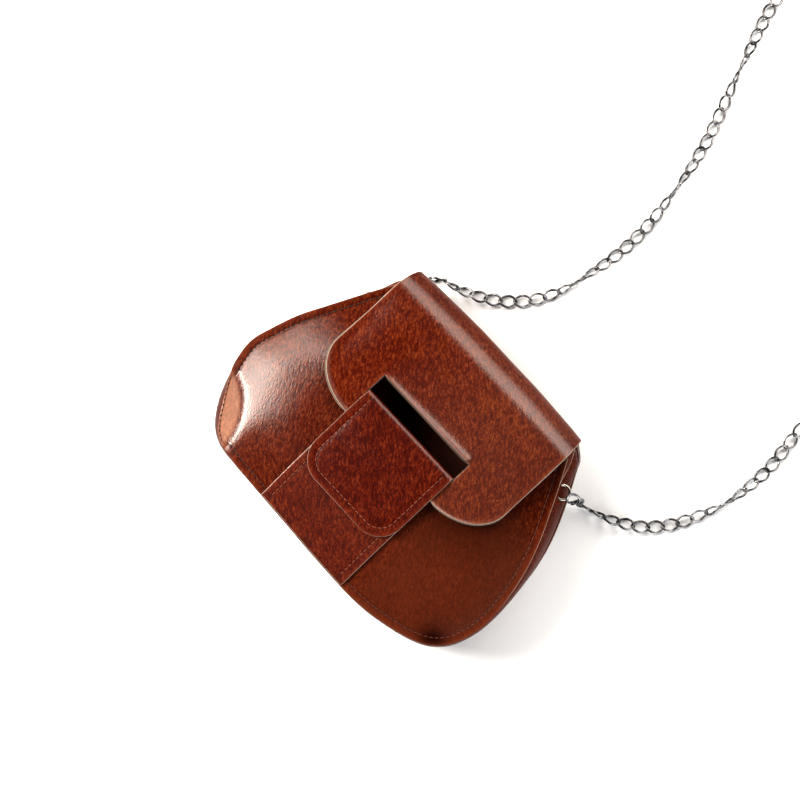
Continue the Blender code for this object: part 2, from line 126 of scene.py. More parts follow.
# Rings
RING_WIRE = 0.0014
RING_RADIUS = 0.0040
RING_DROP = 0.028
RING_DEPTH = 0.0019
RING_TURN = math.radians(14)
RING_SEGMENTS = 72
RING_SIDES = 16
# (how far it hangs down, row of the gusset's section that it goes through), left and right
RING_HANG = {-1: (math.radians(25), 5), 1: (math.radians(12), 4)}

# Chain
CHAIN_WIDTH = 0.006
LINK_LENGTH = 0.0111
LINK_WIDTH = 0.0078
LINK_WIRE = 0.0014
LINK_TWIST = math.radians(24)
LINK_POINT = 0.12
LINK_SEGMENTS = 30
LINK_SIDES = 8
LINK_LIFT = 0.0002
ROLL_RUN = 0.078
ROLL_START_RIGHT = 0.034
ROLL_START_LEFT = 0.057
ROLL_MEETING = (0.35, 0.65)
ROLL_REST = 0.55
CHAIN_TUCK = 0.0035
# Steepness from which the links begin to lie against the bag's side up to where they do so fully,
# and the place across the bag that parts its two sides
STEEP = (0.2, 0.7)
CHAIN_PARTING = 0.01

# Bent corner and dent of the front panel
CREASE_RADIUS = 0.0345
CREASE_SLOPE = math.tan(math.radians(33))
CREASE_SOFTNESS = 0.0020
BENT_RUN = 0.0035
BENT_NARROWING = 0.75
DENT_RADIUS = 0.012
DENT_DEPTH = 0.0012

# Stitches
STITCH_PITCH = 0.003
STITCH_LENGTH = 0.0022
STITCH_INSET = 0.0040
TAB_STITCH_INSET = 0.0043
THREAD = 0.00045
THREAD_SIDES = 6
THREAD_RISE = 0.35
THREAD_DIP = 3.2
# Near-black discs at the stitch holes paint the holes' shade
HOLE_RADIUS = 0.00032
HOLE_SIDES = 8
HOLE_STRETCH = 1.25
HOLE_RISE = 0.12
HOLE_SPREAD = 0.3
HOLE_WIDENING_ACROSS = (-0.02, -0.05)
GROOVE_DEPTH = 0.00018
FLAP_GROOVE_DEPTH = 0.00004
BACK_GROOVE_DEPTH = 0.0004
FLAP_SEAM_RUN = 0.0125
TAB_GROOVE_DEPTH = 0.0001
GROOVE_WIDTH = 0.0007

# Unevenness of the leather
UNEVEN = 0.00035
UNEVEN_SCALE = 38.0
RELIEF_RUN = 0.012
BACK_SHARE = 0.75
EDGE_WEAR = 0.0009

# Marks on the leather, among them a painted shade round the dent and a painted shadow beside
# the flap's edge: how strong they are, and from where to where they grow to the full
# Painted shade: darkening round the dent at the lower right corner, which stands in for the dent's
# shade
DENT_SHADE_REACH = 0.0085
# Painted shadow on the front panel's right side beside the flap's edge
FLAP_SHADOW_REACH = 0.019
FLAP_SHADOW_TONE = 0.42
FLAP_SHADOW_ACROSS = (0.0, 0.03)
SMOOTH_ACROSS = (0.02, 0.05)
SMOOTH_UP = (0.03, 0.0)
BURNISH_ACROSS = (-0.075, -0.085)
BURNISH_UP = (-0.005, -0.025)
MATT_SHARE = 0.45
MATT_ACROSS = (-0.062, -0.044)
MATT_UP = (0.002, 0.028)
FLAP_MATT = 0.75
FLAP_MATT_ACROSS = (-0.02, -0.04)
FLAP_MATT_UP = (0.055, 0.035)
# The flap's colour grows lighter toward its right side
FLAP_RIGHT_LIGHTENING = 0.10
FLAP_RIGHT_LIGHTENING_ACROSS = (-0.045, 0.04)
SLOT_BURNISH = 0.75
STRAP_PALE = 0.05

# Resolution
OUTLINE_STEPS = 20
FRONT_COLUMNS = 190
FRONT_ROWS = 130
SLOT_COLUMNS = 34
SIDE_COLUMNS = 34
BACK_ROWS = 70
FOLD_ROWS = 36
FLAP_ROWS = 40
SLOT_ROWS = 14
LOWER_ROWS = 22
STRAP_COLUMNS = 56
STRAP_ROWS = 70
STRAP_BEND_ROWS = 14
TAB_ROWS = 44
TAB_CORNER_ROWS = 18
GUSSET_STATIONS = 300
SECTION_STEPS = 4
CHAIN_STEPS = 30
# Cut edge from its outer rim to its inner one: (share of the wall, share of the edge's roundness)
EDGE_PROFILE = ((0.06, 0.55), (0.16, 0.9), (0.28, 1.0), (0.68, 0.8), (0.82, 0.9), (0.94, 0.55))
EDGE_ROUNDNESS = 0.0002
GLUE_BAND = 3

# Sewn outline of the front panel from its top left corner round the bottom to its top right one:
# (across, share of half the width; down, share of the height)
OUTLINE = (
    (-0.655, 0.087), (-0.733, 0.188), (-0.836, 0.334), (-0.913, 0.445), (-0.963, 0.554),
    (-0.987, 0.628), (-0.974, 0.699), (-0.938, 0.772), (-0.869, 0.854), (-0.785, 0.932),
    (-0.693, 0.968), (-0.560, 0.980), (-0.376, 0.986), (-0.160, 0.991), (0.058, 0.997),
    (0.275, 1.000), (0.411, 0.999), (0.546, 0.989), (0.708, 0.964), (0.826, 0.935),
    (0.905, 0.900), (0.966, 0.845), (1.003, 0.765), (1.010, 0.683), (0.992, 0.590),
    (0.961, 0.502), (0.926, 0.431), (0.873, 0.348), (0.799, 0.252), (0.733, 0.170),
    (0.662, 0.087),
)
# Points of the outline at its bottom corners
OUTLINE_CORNERS = (9, 20)

# Gusset across its width, from the front panel's edge to the back panel's:
# (outward, flanges wide; share of the bulge; share of the way to the back edge; height share)
GUSSET_SECTION = (
    (0.00, 0.0, 0.00, 1.000), (-0.80, 0.0, 0.00, 1.000), (-1.06, 0.0, 0.02, 0.968),
    (-1.02, 0.0, 0.05, 0.925), (-0.15, 0.3, 0.20, 0.800), (0.00, 1.0, 0.50, 0.500),
    (-0.15, 0.3, 0.80, 0.200), (-1.02, 0.0, 0.95, 0.075), (-1.06, 0.0, 0.98, 0.032),
    (-0.80, 0.0, 1.00, 0.000), (0.00, 0.0, 1.00, 0.000),
)

# Places of the bent corner's centre, of the dent, of the painted shade round the dent and of the
# back panel's wide corner: shares of half the width and of the height
CREASE_PLACE = (-1.000, 0.979)
DENT_PLACE = (0.894, 0.877)
DENT_SHADE_PLACE = (0.888, 0.897)
CORNER_FLARE_PLACE = (-0.870, 0.870)

# Route of the chain where it lies on the surface, from the right side of the bag to the left:
# (across, share of half the width; up from the middle, share of the height)
CHAIN_ROUTE = (
    (0.969, 0.368), (1.068, 0.397), (1.213, 0.463), (1.318, 0.554), (1.387, 0.658),
    (1.433, 0.757), (1.451, 0.868), (1.449, 0.981), (1.410, 1.144), (1.355, 1.443),
    (1.365, 1.812), (1.436, 2.215), (1.466, 2.651), (1.315, 3.054), (0.884, 3.322),
    (0.341, 3.362), (-0.181, 3.174), (-0.472, 2.852), (-0.522, 2.497), (-0.445, 2.204),
    (-0.296, 1.927), (-0.109, 1.611), (-0.013, 1.322), (0.005, 1.135), (-0.025, 0.964),
    (-0.077, 0.821), (-0.171, 0.716), (-0.302, 0.634), (-0.459, 0.574), (-0.577, 0.544),
    (-0.640, 0.474), (-0.680, 0.410), (-0.722, 0.362),
)

# Way of the chain from a ring's end down to the surface:
# (share of the way out to where it clears the back panel, share of the ring's height)
CHAIN_DROP = ((0.96, 0.66), (1.00, 0.24))

# Camera over the bag
CAMERA_AZIMUTH = math.radians(5.118)
CAMERA_ELEVATION = math.radians(-1.922)
CAMERA_ROLL = math.radians(47.132)
CAMERA_DISTANCE = 1.150
CAMERA_LENS = 92.66
CAMERA_SHIFT = (-0.00405, 0.06656)

# Sizes that follow from those above
TOP_Y = BODY_HEIGHT / 2
BACK_LIFT = CHAIN_WIDTH + CHAIN_ROOM
FRONT_TOP_Z = BORDER_HEIGHT + FOLD_RISE + 2 * GAP + 2 * LEATHER
FOLD_RADIUS = (FRONT_TOP_Z - BACK_LIFT) / 2
FOLD_CENTRE_Y = TOP_Y - FOLD_RADIUS
FOLD_CENTRE_Z = BACK_LIFT + FOLD_RADIUS
FLAP_STRAIGHT = FLAP_LENGTH - FLAP_CORNER_DOWN
TAB_STRAIGHT = TAB_LENGTH - TAB_CORNER
STRAP_HALF = STRAP_WIDTH / 2
STRAP_BEND_RADIUS = LEATHER + GAP
MOUTH_Y = TOP_Y - MOUTH_DROP
SLOT_TOP_Y = MOUTH_Y + SLOT_HEIGHT
SLOT_BOTTOM_Y = MOUTH_Y - GAP
SLOT_HALF = STRAP_HALF + SLOT_SIDE_CLEARANCE
SLOT_SHARE = SLOT_HALF / (FLAP_WIDTH / 2)
CHAIN_RADIUS = CHAIN_WIDTH / 2
GUSSET_DEPTH = 1.5 * LEATHER + SEAM_GAP
UP = np.array([0.0, 0.0, 1.0])


# Curves and heights


def smoothstep(value):
    """Smooth rise from 0 to 1 as value goes from 0 to 1."""
    value = np.clip(value, 0.0, 1.0)
    return value * value * (3.0 - 2.0 * value)


def ramp(value, ends):
    """Smooth rise from 0 to 1 as value goes from the first end to the second."""
    return smoothstep((value - ends[0]) / (ends[1] - ends[0]))


def shares(count):
    """Even shares from 0 to 1, one more than the count."""
    return np.linspace(0.0, 1.0, count + 1)


def unit(vectors):
    """Vectors that point the same way, each of length one."""
    return vectors / np.maximum(np.linalg.norm(vectors, axis=-1, keepdims=True), 1e-12)


def around(count):
    """Even angles round a circle."""
    return np.arange(count) * 2 * math.pi / count


def mix(start, end, share):
    """Point or number at a share of the way from start to end."""
    return start + (end - start) * share


def spline(points, steps):
    """Points along a smooth curve through all the given points, some steps to each span."""
    points = np.array(points, dtype=float)
    before = 2 * points[0] - points[1]
    after = 2 * points[-1] - points[-2]
    padded = np.concatenate([before[None], points, after[None]])
    curve = []
    for index in range(len(points) - 1):
        a, b, c, d = padded[index:index + 4]
        for step in range(steps):
            t = step / steps
            curve.append(0.5 * (2 * b + (c - a) * t + (2 * a - 5 * b + 4 * c - d) * t ** 2
                                + (3 * b - a - 3 * c + d) * t ** 3))
    curve.append(points[-1])
    return np.array(curve)


def arc_lengths(line):
    """Distance along a line to each of its points."""
    spans = np.linalg.norm(np.diff(line, axis=0), axis=1)
    return np.concatenate([[0.0], np.cumsum(spans)])


def along(line, distances):
    """Points at the given distances along a line."""
    lengths = arc_lengths(line)
    return np.stack([np.interp(distances, lengths, line[:, axis]) for axis in range(line.shape[1])],
                    axis=-1)


def outward(line):
    """Unit normals of a plane line that runs round the body with its inside on the left."""
    tangent = unit(np.gradient(line, axis=0))
    return np.stack([tangent[:, 1], -tangent[:, 0]], axis=-1)


def place(across, down):
    """Plane point from shares of half the width and of the height."""
    return (across * BODY_WIDTH / 2, TOP_Y - down * BODY_HEIGHT)


def apart(x, y, spot_place):
    """Distance in the plane from a place given in shares."""
    centre_x, centre_y = place(*spot_place)
    return np.hypot(x - centre_x, y - centre_y)


def spot(x, y, spot_place, reach):
    """Soft round spot: 1 in its middle, less and less around it."""
    return np.exp(-(apart(x, y, spot_place) / reach) ** 2)


FRONT_LINE = spline([place(*point) for point in OUTLINE], OUTLINE_STEPS)
CORNERS = [row * OUTLINE_STEPS for row in OUTLINE_CORNERS]


def back_flare(x, y):
    """How far the back panel reaches past the front one beside a point of the outline."""
    side_flare = np.where(x < 0.0, BACK_FLARE_LEFT, BACK_FLARE_RIGHT)
    return (side_flare * ramp(TOP_Y - y, FLARE_DROPS)
            + CORNER_FLARE * spot(x, y, CORNER_FLARE_PLACE, CORNER_FLARE_REACH) - BACK_INSET)


BACK_LINE = FRONT_LINE + outward(FRONT_LINE) * back_flare(*FRONT_LINE.T)[:, None]


def back_z(y):
    """Height of the back panel's resting face, which lifts toward the fold and turns up in it."""
    lift = BACK_LIFT * ramp(TOP_Y - y, (LIFT_START_DROP, FOLD_RADIUS))
    rise = np.clip(y - FOLD_CENTRE_Y, 0.0, FOLD_RADIUS)
    return lift + FOLD_RADIUS - np.sqrt(FOLD_RADIUS ** 2 - rise ** 2)


def in_chunks(function, x, y, size=4000):
    """Values of a function of many plane points, worked out a few thousand at a time."""
    x, y = np.broadcast_arrays(x, y)
    flat = np.stack([np.ravel(x), np.ravel(y)], axis=-1)
    parts = [function(flat[start:start + size]) for start in range(0, len(flat), size)]
    return np.concatenate(parts).reshape(np.shape(x))


def edge_distance(x, y):
    """Smooth distance from each point to the sewn outline, exact beside a straight edge."""
    middles = (FRONT_LINE[1:] + FRONT_LINE[:-1]) / 2
    spans = np.linalg.norm(np.diff(FRONT_LINE, axis=0), axis=1)

    def smooth_distance(flat):
        away = np.linalg.norm(flat[:, None] - middles, axis=2)
        nearness = (spans / np.maximum(away, spans) ** 4).sum(axis=1) * 2 / math.pi
        return nearness ** (-1 / 3)

    return in_chunks(smooth_distance, x, y)


def line_distance(x, y, line):
    """Exact distance from each point to a plane line."""
    starts = line[:-1]
    spans = np.diff(line, axis=0)
    squares = np.maximum((spans ** 2).sum(axis=1), 1e-18)

    def exact_distance(flat):
        reach = flat[:, None] - starts
        share = np.clip((reach * spans).sum(axis=2) / squares, 0.0, 1.0)
        return np.linalg.norm(reach - share[..., None] * spans, axis=2).min(axis=1)

    return in_chunks(exact_distance, x, y)


def corner_drop(x, y):
    """How far the bent lower left corner falls away inside its crease."""
    inside = CREASE_RADIUS - apart(x, y, CREASE_PLACE)
    return CREASE_SLOPE * CREASE_SOFTNESS * np.logaddexp(0.0, inside / CREASE_SOFTNESS)


def bent_corner(x, y):
    """1 inside the crease of the bent corner, 0 outside it."""
    return smoothstep((CREASE_RADIUS - apart(x, y, CREASE_PLACE)) / BENT_RUN)


def seam_inset(x, y):
    """Distance of the front panel's seam from its edge, less in the bent corner."""
    return STITCH_INSET * (1.0 - BENT_NARROWING * bent_corner(x, y))


def front_z(x, y):
    """Height of the front panel's outer face."""
    border = DOME_START * (1.0 - bent_corner(x, y))
    distance = np.maximum(edge_distance(x, y), border)
    start, here = [np.logaddexp(0.0, (value - DOME_REACH) / DOME_SOFTNESS)
                   for value in (DOME_START, distance)]
    slope = DOME_SLOPE * (1.0 - DOME_EASE * ramp(y, DOME_EASE_UP))
    rise = slope * (distance - DOME_START - DOME_SOFTNESS * (here - start))
    dent = DENT_DEPTH * spot(x, y, DENT_PLACE, DENT_RADIUS)
    return BORDER_HEIGHT + rise - corner_drop(x, y) - dent


def uneven(grid, seed):
    """Slight unevenness at each point of a grid."""
    rows, columns, _ = grid.shape
    shift = Vector((seed, 0.0, 0.0))
    values = [noise.noise(Vector(point) * UNEVEN_SCALE + shift) for point in grid.reshape(-1, 3)]
    return np.array(values).reshape(rows, columns) * UNEVEN


# Meshes


def sheet_normals(grid):
    """Unit normals at the points of a grid."""
    return unit(np.cross(np.gradient(grid, axis=0), np.gradient(grid, axis=1)))


def boundary_edges(faces):
    """Directed edges that only one of the faces has."""
    edges = [edge for face in faces for edge in zip(face, face[1:] + face[:1])]
    known = set(edges)
    return [(a, b) for a, b in edges if (b, a) not in known]


def smooth_mesh(name, points, faces, materials):
    """Smooth mesh in the given materials."""
    mesh = bpy.data.meshes.new(name)
    mesh.from_pydata(np.reshape(points, (-1, 3)).tolist(), [], faces)
    for material in materials:
        mesh.materials.append(material)
    mesh.shade_smooth()
    return mesh


def add_piece(mesh, node=None):
    """Piece that rides on the bag, in the place of a CAD node where one is named."""
    piece = bpy.data.objects.new(mesh.name, mesh)
    bpy.context.scene.collection.objects.link(piece)
    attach(piece, "root")
    if node:
        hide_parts(node)


def add_wall(name, grid, materials, node, marks, centred=False, hole=None, bevel=0.0):
    """Leather wall with rounded cut edges from a grid of points on its outer face.

    materials: outer face, inner face, cut edge, glue line in the cut edge. bevel: how much further
    the inner face reaches at the cut edge, one number or one for each point of the grid.
    """
    rows, columns, _ = grid.shape
    normals = sheet_normals(grid).reshape(-1, 3)
    outer = grid.reshape(-1, 3) + normals * (LEATHER / 2 if centred else 0.0)
    inner = outer - normals * LEATHER
    count = len(outer)
    firsts = [row * columns + column for row in range(rows - 1) for column in range(columns - 1)
              if hole is None or not hole[row, column]]
    faces = [(a, a + columns, a + columns + 1, a + 1) for a in firsts]
    edges = boundary_edges(faces)
    sideways = np.zeros((count, 3))
    for a, b in edges:
        turn = unit(np.cross(outer[b] - outer[a], normals[a]))
        sideways[a] += turn
        sideways[b] += turn
    rim = sorted({index for edge in edges for index in edge})
    rim_place = {index: order for order, index in enumerate(rim)}
    lean = unit(sideways[rim])
    slant = np.ravel(np.broadcast_to(bevel, (rows, columns)))[rim, None]
    inner[rim] += lean * slant
    rings = [outer[rim] - normals[rim] * LEATHER * share
             + lean * (EDGE_ROUNDNESS * bulge + slant * share) for share, bulge in EDGE_PROFILE]
    points = np.concatenate([outer, inner] + rings)
    polygons = faces + [tuple(count + index for index in reversed(face)) for face in faces]
    kinds = [0] * len(faces) + [1] * len(faces)
    belts = [range(start, start + len(rim))
             for start in range(2 * count, len(points), len(rim))]
    belts = [rim, *belts, [count + index for index in rim]]
    for band, (upper, lower) in enumerate(zip(belts, belts[1:])):
        for a, b in edges:
            a, b = rim_place[a], rim_place[b]
            polygons.append((upper[b], upper[a], lower[a], lower[b]))
            kinds.append(3 if band == GLUE_BAND else 2)
    used = sorted({index for polygon in polygons for index in polygon})
    new_place = {index: order for order, index in enumerate(used)}
    polygons = [tuple(new_place[index] for index in polygon) for polygon in polygons]
    mesh = smooth_mesh(name, points[used], polygons, materials)
    mesh.polygons.foreach_set("material_index", kinds)
    for mark, values in marks.items():
        flat = np.ravel(values)
        values = np.concatenate([flat, flat] + [flat[rim]] * len(EDGE_PROFILE))[used]
        attribute = mesh.attributes.new(mark, "FLOAT", "POINT")
        attribute.data.foreach_set("value", values.astype(np.float32))
    add_piece(mesh, node)


def square_to(tangent, up):
    """Unit sides and tops that stand square on unit tangents, with the tops close to up."""
    top = unit(up - tangent * (up * tangent).sum(axis=-1, keepdims=True))
    return np.cross(top, tangent), top


def wire_points(line, side, top, radius, count):
    """Rings of points round a line, each from its side over its top."""
    spin = around(count)[:, None]
    return line[:, None] + radius * (side[:, None] * np.cos(spin) + top[:, None] * np.sin(spin))


def wire_faces(rings, sides, first, closed):
    """Quads between the rings of a wire, and caps on an open one."""
    here = first + np.arange(rings * sides).reshape(rings, sides)
    beside = np.roll(here, -1, axis=1)
    quads = np.stack([here, beside, np.roll(beside, -1, 0), np.roll(here, -1, 0)], axis=-1)
    if closed:
        return quads.reshape(-1, 4).tolist()
    return quads[:-1].reshape(-1, 4).tolist() + [here[0, ::-1].tolist(), here[-1].tolist()]


def add_stitches(name, line, up, materials, hole_widening=0.0):
    """Row of short threads that dip into the leather at both ends, and the holes that they enter.

    The holes are near-black discs that paint their shade; the widening makes them larger toward the
    left side.
    """
    length = arc_lengths(line)[-1]
    count = int(length / STITCH_PITCH)
    pitch = length / count
    steps = np.linspace(-0.5, 0.5, 7)
    spin = around(HOLE_SIDES)[:, None]
    threads, faces, hole_shades = [], [], []
    for index in range(count):
        run = along(line, (index + 0.5) * pitch + steps * STITCH_LENGTH)
        run = run + up * (THREAD * (THREAD_RISE - THREAD_DIP * steps ** 2))[:, None]
        sides_and_tops = square_to(unit(np.gradient(run, axis=0)), up)
        faces += wire_faces(len(run), THREAD_SIDES, index * len(run) * THREAD_SIDES, False)
        threads.append(wire_points(run, *sides_and_tops, THREAD / 2, THREAD_SIDES))
        start, after = along(line, np.array([index * pitch, index * pitch + HOLE_RADIUS]))
        ahead = unit(after - start)
        radius = HOLE_RADIUS * (1.0 + hole_widening * ramp(start[0], HOLE_WIDENING_ACROSS))
        lift = THREAD * HOLE_RISE + HOLE_SPREAD * (radius - HOLE_RADIUS)
        # near-black disc at the hole: painted shade of the hole
        hole_shades.append(start + up * lift + radius * (ahead * HOLE_STRETCH * np.cos(spin)
                                                   + np.cross(up, ahead) * np.sin(spin)))
    discs = np.arange(count * HOLE_SIDES).reshape(-1, HOLE_SIDES).tolist()
    add_piece(smooth_mesh(name, threads, faces, materials[:1]))
    add_piece(smooth_mesh(name + "_hole_shade", hole_shades, discs, materials[1:]))


def refined(count, crowding):
    """Shares from 0 to 1 that lie closer together toward both ends."""
    share = shares(count)
    return share - crowding * np.sin(2 * math.pi * share) / (2 * math.pi)


def patch(left, right, bottom, top, across, down):
    """Plane grid between four edges. Left and right run down, bottom and top run to the right."""
    across, down = across[:, None], down[:, None, None]
    sides = mix(left[:, None], right[:, None], across)
    ends = mix(top, bottom, down)
    corners = mix(mix(left[0], right[0], across), mix(left[-1], right[-1], across), down)
    return sides + ends - corners


def outline_edges(line, across, down):
    """The left, right and bottom edges of an outline."""
    lengths = arc_lengths(line)
    left_end, right_end = lengths[CORNERS[0]], lengths[CORNERS[1]]
    left = along(line, mix(0.0, left_end, down))
    right = along(line, mix(lengths[-1], right_end, down))
    bottom = along(line, mix(left_end, right_end, across))
    return left, right, bottom


def groove(distance, inset):
    """Strength of a sewn groove at a distance from the edge that it follows."""
    return np.exp(-((distance - inset) / GROOVE_WIDTH) ** 2)


def seam_line(line, inset, height):
    """Line of a seam inside a plane line, at the heights that a function gives."""
    line = line - outward(line) * np.reshape(inset, (-1, 1))
    return np.column_stack([line, height(*line.T)])


def edge_mark(distance):
    """Strength of the wear beside a cut edge."""
    return np.exp(-distance / EDGE_WEAR)


# Front panel


def mouth_edge(across):
    """Top edge of the front panel, scooped between its two top corners."""
    share = 0.5 - 0.5 * np.cos(math.pi * across)
    x = mix(FRONT_LINE[0, 0], FRONT_LINE[-1, 0], share)
    corner_y = mix(FRONT_LINE[0, 1], FRONT_LINE[-1, 1], share)
    scoop = 1.0 - np.abs(2.0 * share - 1.0) ** MOUTH_SQUARENESS
    return np.stack([x, mix(corner_y, MOUTH_Y, scoop)], axis=-1)


def make_front_panel(materials, thread):
    """Domed front panel with its sewn border."""
    across = refined(FRONT_COLUMNS, 0.55)
    down = refined(FRONT_ROWS, 0.5)
    edges = outline_edges(FRONT_LINE, across, down)
    x, y = np.moveaxis(patch(*edges, mouth_edge(across), across, down), -1, 0)
    grid = np.stack([x, y, front_z(x, y)], axis=-1)
    distance = line_distance(x, y, FRONT_LINE)
    seam = groove(distance, seam_inset(x, y))
    grid[..., 2] += uneven(grid, 3.0) * smoothstep(distance / RELIEF_RUN) - GROOVE_DEPTH * seam
    # Painted shadow: the front panel darkens beside the flap's edge on its right side, where the
    # flap shades it
    near_flap_edge = np.exp(-(line_distance(x, y, flap_outline()) / FLAP_SHADOW_REACH) ** 2)
    flap_shadow = FLAP_SHADOW_TONE * near_flap_edge * ramp(x, FLAP_SHADOW_ACROSS)
    burnish = ramp(y, BURNISH_UP) + ramp(x, BURNISH_ACROSS)
    matt = np.maximum(ramp(y, MATT_UP), MATT_SHARE * ramp(x, MATT_ACROSS))
    bent, edge = bent_corner(x, y), edge_mark(distance)
    # The bent corner's pale mark is painted light: it lightens the corner that faces the light
    marks = {"seam": seam, "edge": edge, "pale": bent,
             # painted shade round the dent and the painted shadow beside the flap's edge share one
             # mark
             "painted_shade": np.maximum(spot(x, y, DENT_SHADE_PLACE, DENT_SHADE_REACH), flap_shadow),
             "smooth": ramp(x, SMOOTH_ACROSS) * ramp(y, SMOOTH_UP),
             "burnish": np.minimum(burnish, 1.0), "matt": np.maximum(matt * (1.0 - bent), edge)}
    add_wall("front_panel_leather", grid, materials, "front_panel", marks)
    line = seam_line(FRONT_LINE, seam_inset(*FRONT_LINE.T), front_z) - GROOVE_DEPTH * UP
    add_stitches("front_stitches", line, UP, thread, hole_widening=1.0)


# Back panel, fold and flap


def flap_half(drop):
    """Half the flap's width at a distance below the fold."""
    rise = np.clip((drop - FLAP_STRAIGHT) / FLAP_CORNER_DOWN, 0.0, 1.0)
    return FLAP_WIDTH / 2 - FLAP_CORNER_ACROSS * (1.0 - np.sqrt(1.0 - rise ** 2))


def both_sides(x, y):
    """Line down the left side and back up the right one, from the points of the right side."""
    side = np.column_stack([x, y])
    return np.concatenate([side * (-1, 1), side[::-1]])


def flap_outline():
    """Edge of the flap from the fold down its left side, round and up its right side."""
    turns = shares(49)[1:] * math.pi / 2
    drops = np.concatenate([mix(FOLD_RADIUS * 0.5, FLAP_STRAIGHT, shares(39)),
                            FLAP_STRAIGHT + FLAP_CORNER_DOWN * np.sin(turns)])
    return both_sides(flap_half(drops), TOP_Y - drops)


def settled_z(x, y):
    """Height of the flap's outer face where it lies on the front panel."""
    return front_z(x, y) + 2 * GAP + 2 * LEATHER


def lip_rise(x, y):
    """How far the flap curls up beside the slot's upper edge."""
    above = y - SLOT_TOP_Y
    rise = np.where(above < 0.0, 1 - above / LIP_REACH, np.exp(-np.maximum(above, 0.0) / LIP_REACH))
    rise = np.where(above > -1.5 * SLOT_HEIGHT / SLOT_ROWS, rise, 0.0)
    side_fade = smoothstep((SLOT_HALF - np.abs(x)) / LIP_FADE)
    return LIP_RISE * rise * side_fade * mix(LIP_LEFT_SHARE, 1.0, ramp(x, (-SLOT_HALF, SLOT_HALF)))


def flap_z(x, y):
    """Height of the flap's outer face, level at the fold and settling on the front panel."""
    return mix(FRONT_TOP_Z, settled_z(x, y), smoothstep((FOLD_CENTRE_Y - y) / FLAP_SETTLE))


def flap_curl(x, y, distance):
    """How far the flap's free edge curls up, most of all at its lower corners."""
    drop = TOP_Y - y
    corner = np.where(x < 0.0, ramp(drop, CURL_DROPS_LEFT),
                      CURL_RIGHT_SHARE * ramp(drop, CURL_DROPS_RIGHT))
    strength = mix(CURL_LEAST, 1.0, corner) * smoothstep((FOLD_CENTRE_Y - y) / RELIEF_RUN)
    return CURL_RISE * strength * np.exp(-distance / CURL_REACH)


def closing_in(count):
    """Shares above 0 up to 1 that lie closer together toward 1."""
    share = shares(count)[1:]
    return share + 0.45 * share * (1.0 - share)


def flap_columns():
    """Places of the flap's columns: -1 to 1, with the slot's sides among them."""
    half = np.concatenate([SLOT_SHARE * shares(SLOT_COLUMNS),
                           mix(SLOT_SHARE, 1.0, closing_in(SIDE_COLUMNS))])
    return np.concatenate([-half[:0:-1], half])


def fold_half_width(edge_x, start, angle):
    """Distance of the fold's side from the middle, at an angle round the fold."""
    widened = mix(NECK_WIDTH, FLAP_WIDTH, ramp(angle, (NECK_ANGLE, math.pi))) / 2
    return mix(abs(edge_x), widened, ramp(angle, (start, NECK_ANGLE)))


def back_and_fold_rows(columns):
    """Back panel from its bottom edge up, and the half-round fold."""
    across = (columns + 1) / 2
    down = shares(BACK_ROWS) ** 1.3
    left, right, bottom = outline_edges(BACK_LINE, across, down)
    top = mix(left[0], right[0], across[:, None])
    plane = patch(left, right, bottom, top, across, down)[::-1]
    rows = [np.column_stack([row, back_z(row[:, 1])]) for row in plane]
    start = np.arcsin((rows[-1][:, 1] - FOLD_CENTRE_Y) / FOLD_RADIUS)
    for step in range(1, FOLD_ROWS + 1):
        angle = mix(start, math.pi, step / FOLD_ROWS)
        x = mix(-fold_half_width(BACK_LINE[0, 0], start[0], angle[0]),
                fold_half_width(BACK_LINE[-1, 0], start[-1], angle[-1]), across)
        bow = FOLD_BOW * np.sin(angle) ** 2 * (1.0 - np.abs(columns) ** 3)
        rows.append(np.column_stack([x, FOLD_CENTRE_Y + FOLD_RADIUS * np.sin(angle) + bow,
                                     FOLD_CENTRE_Z - FOLD_RADIUS * np.cos(angle)]))
    return rows


def flap_rows(columns):
    """Flap from the fold down to its edge."""
    slot_top, slot_bottom = TOP_Y - SLOT_TOP_Y, TOP_Y - SLOT_BOTTOM_Y
    first = math.asin((slot_bottom - FLAP_STRAIGHT) / FLAP_CORNER_DOWN)
    turns = mix(first, math.pi / 2, shares(LOWER_ROWS)[1:])
    drops = np.concatenate([mix(FOLD_RADIUS, slot_top, closing_in(FLAP_ROWS)),
                            mix(slot_top, slot_bottom, shares(SLOT_ROWS)[1:]),
                            FLAP_STRAIGHT + FLAP_CORNER_DOWN * np.sin(turns)])
    size = np.abs(columns)
    rows = []
    for drop in drops:
        below = np.clip((drop - slot_bottom) / (FLAP_LENGTH - slot_bottom), 0.0, 1.0)
        inner = SLOT_HALF * mix(1.0, 0.5, below)
        outer = mix(inner, flap_half(drop), (size - SLOT_SHARE) / (1.0 - SLOT_SHARE))
        x = np.sign(columns) * np.where(size <= SLOT_SHARE, inner * size / SLOT_SHARE, outer)
        y = np.full_like(x, TOP_Y - drop)
        rows.append(np.column_stack([x, y, flap_z(x, y) + lip_rise(x, y)]))
    return rows


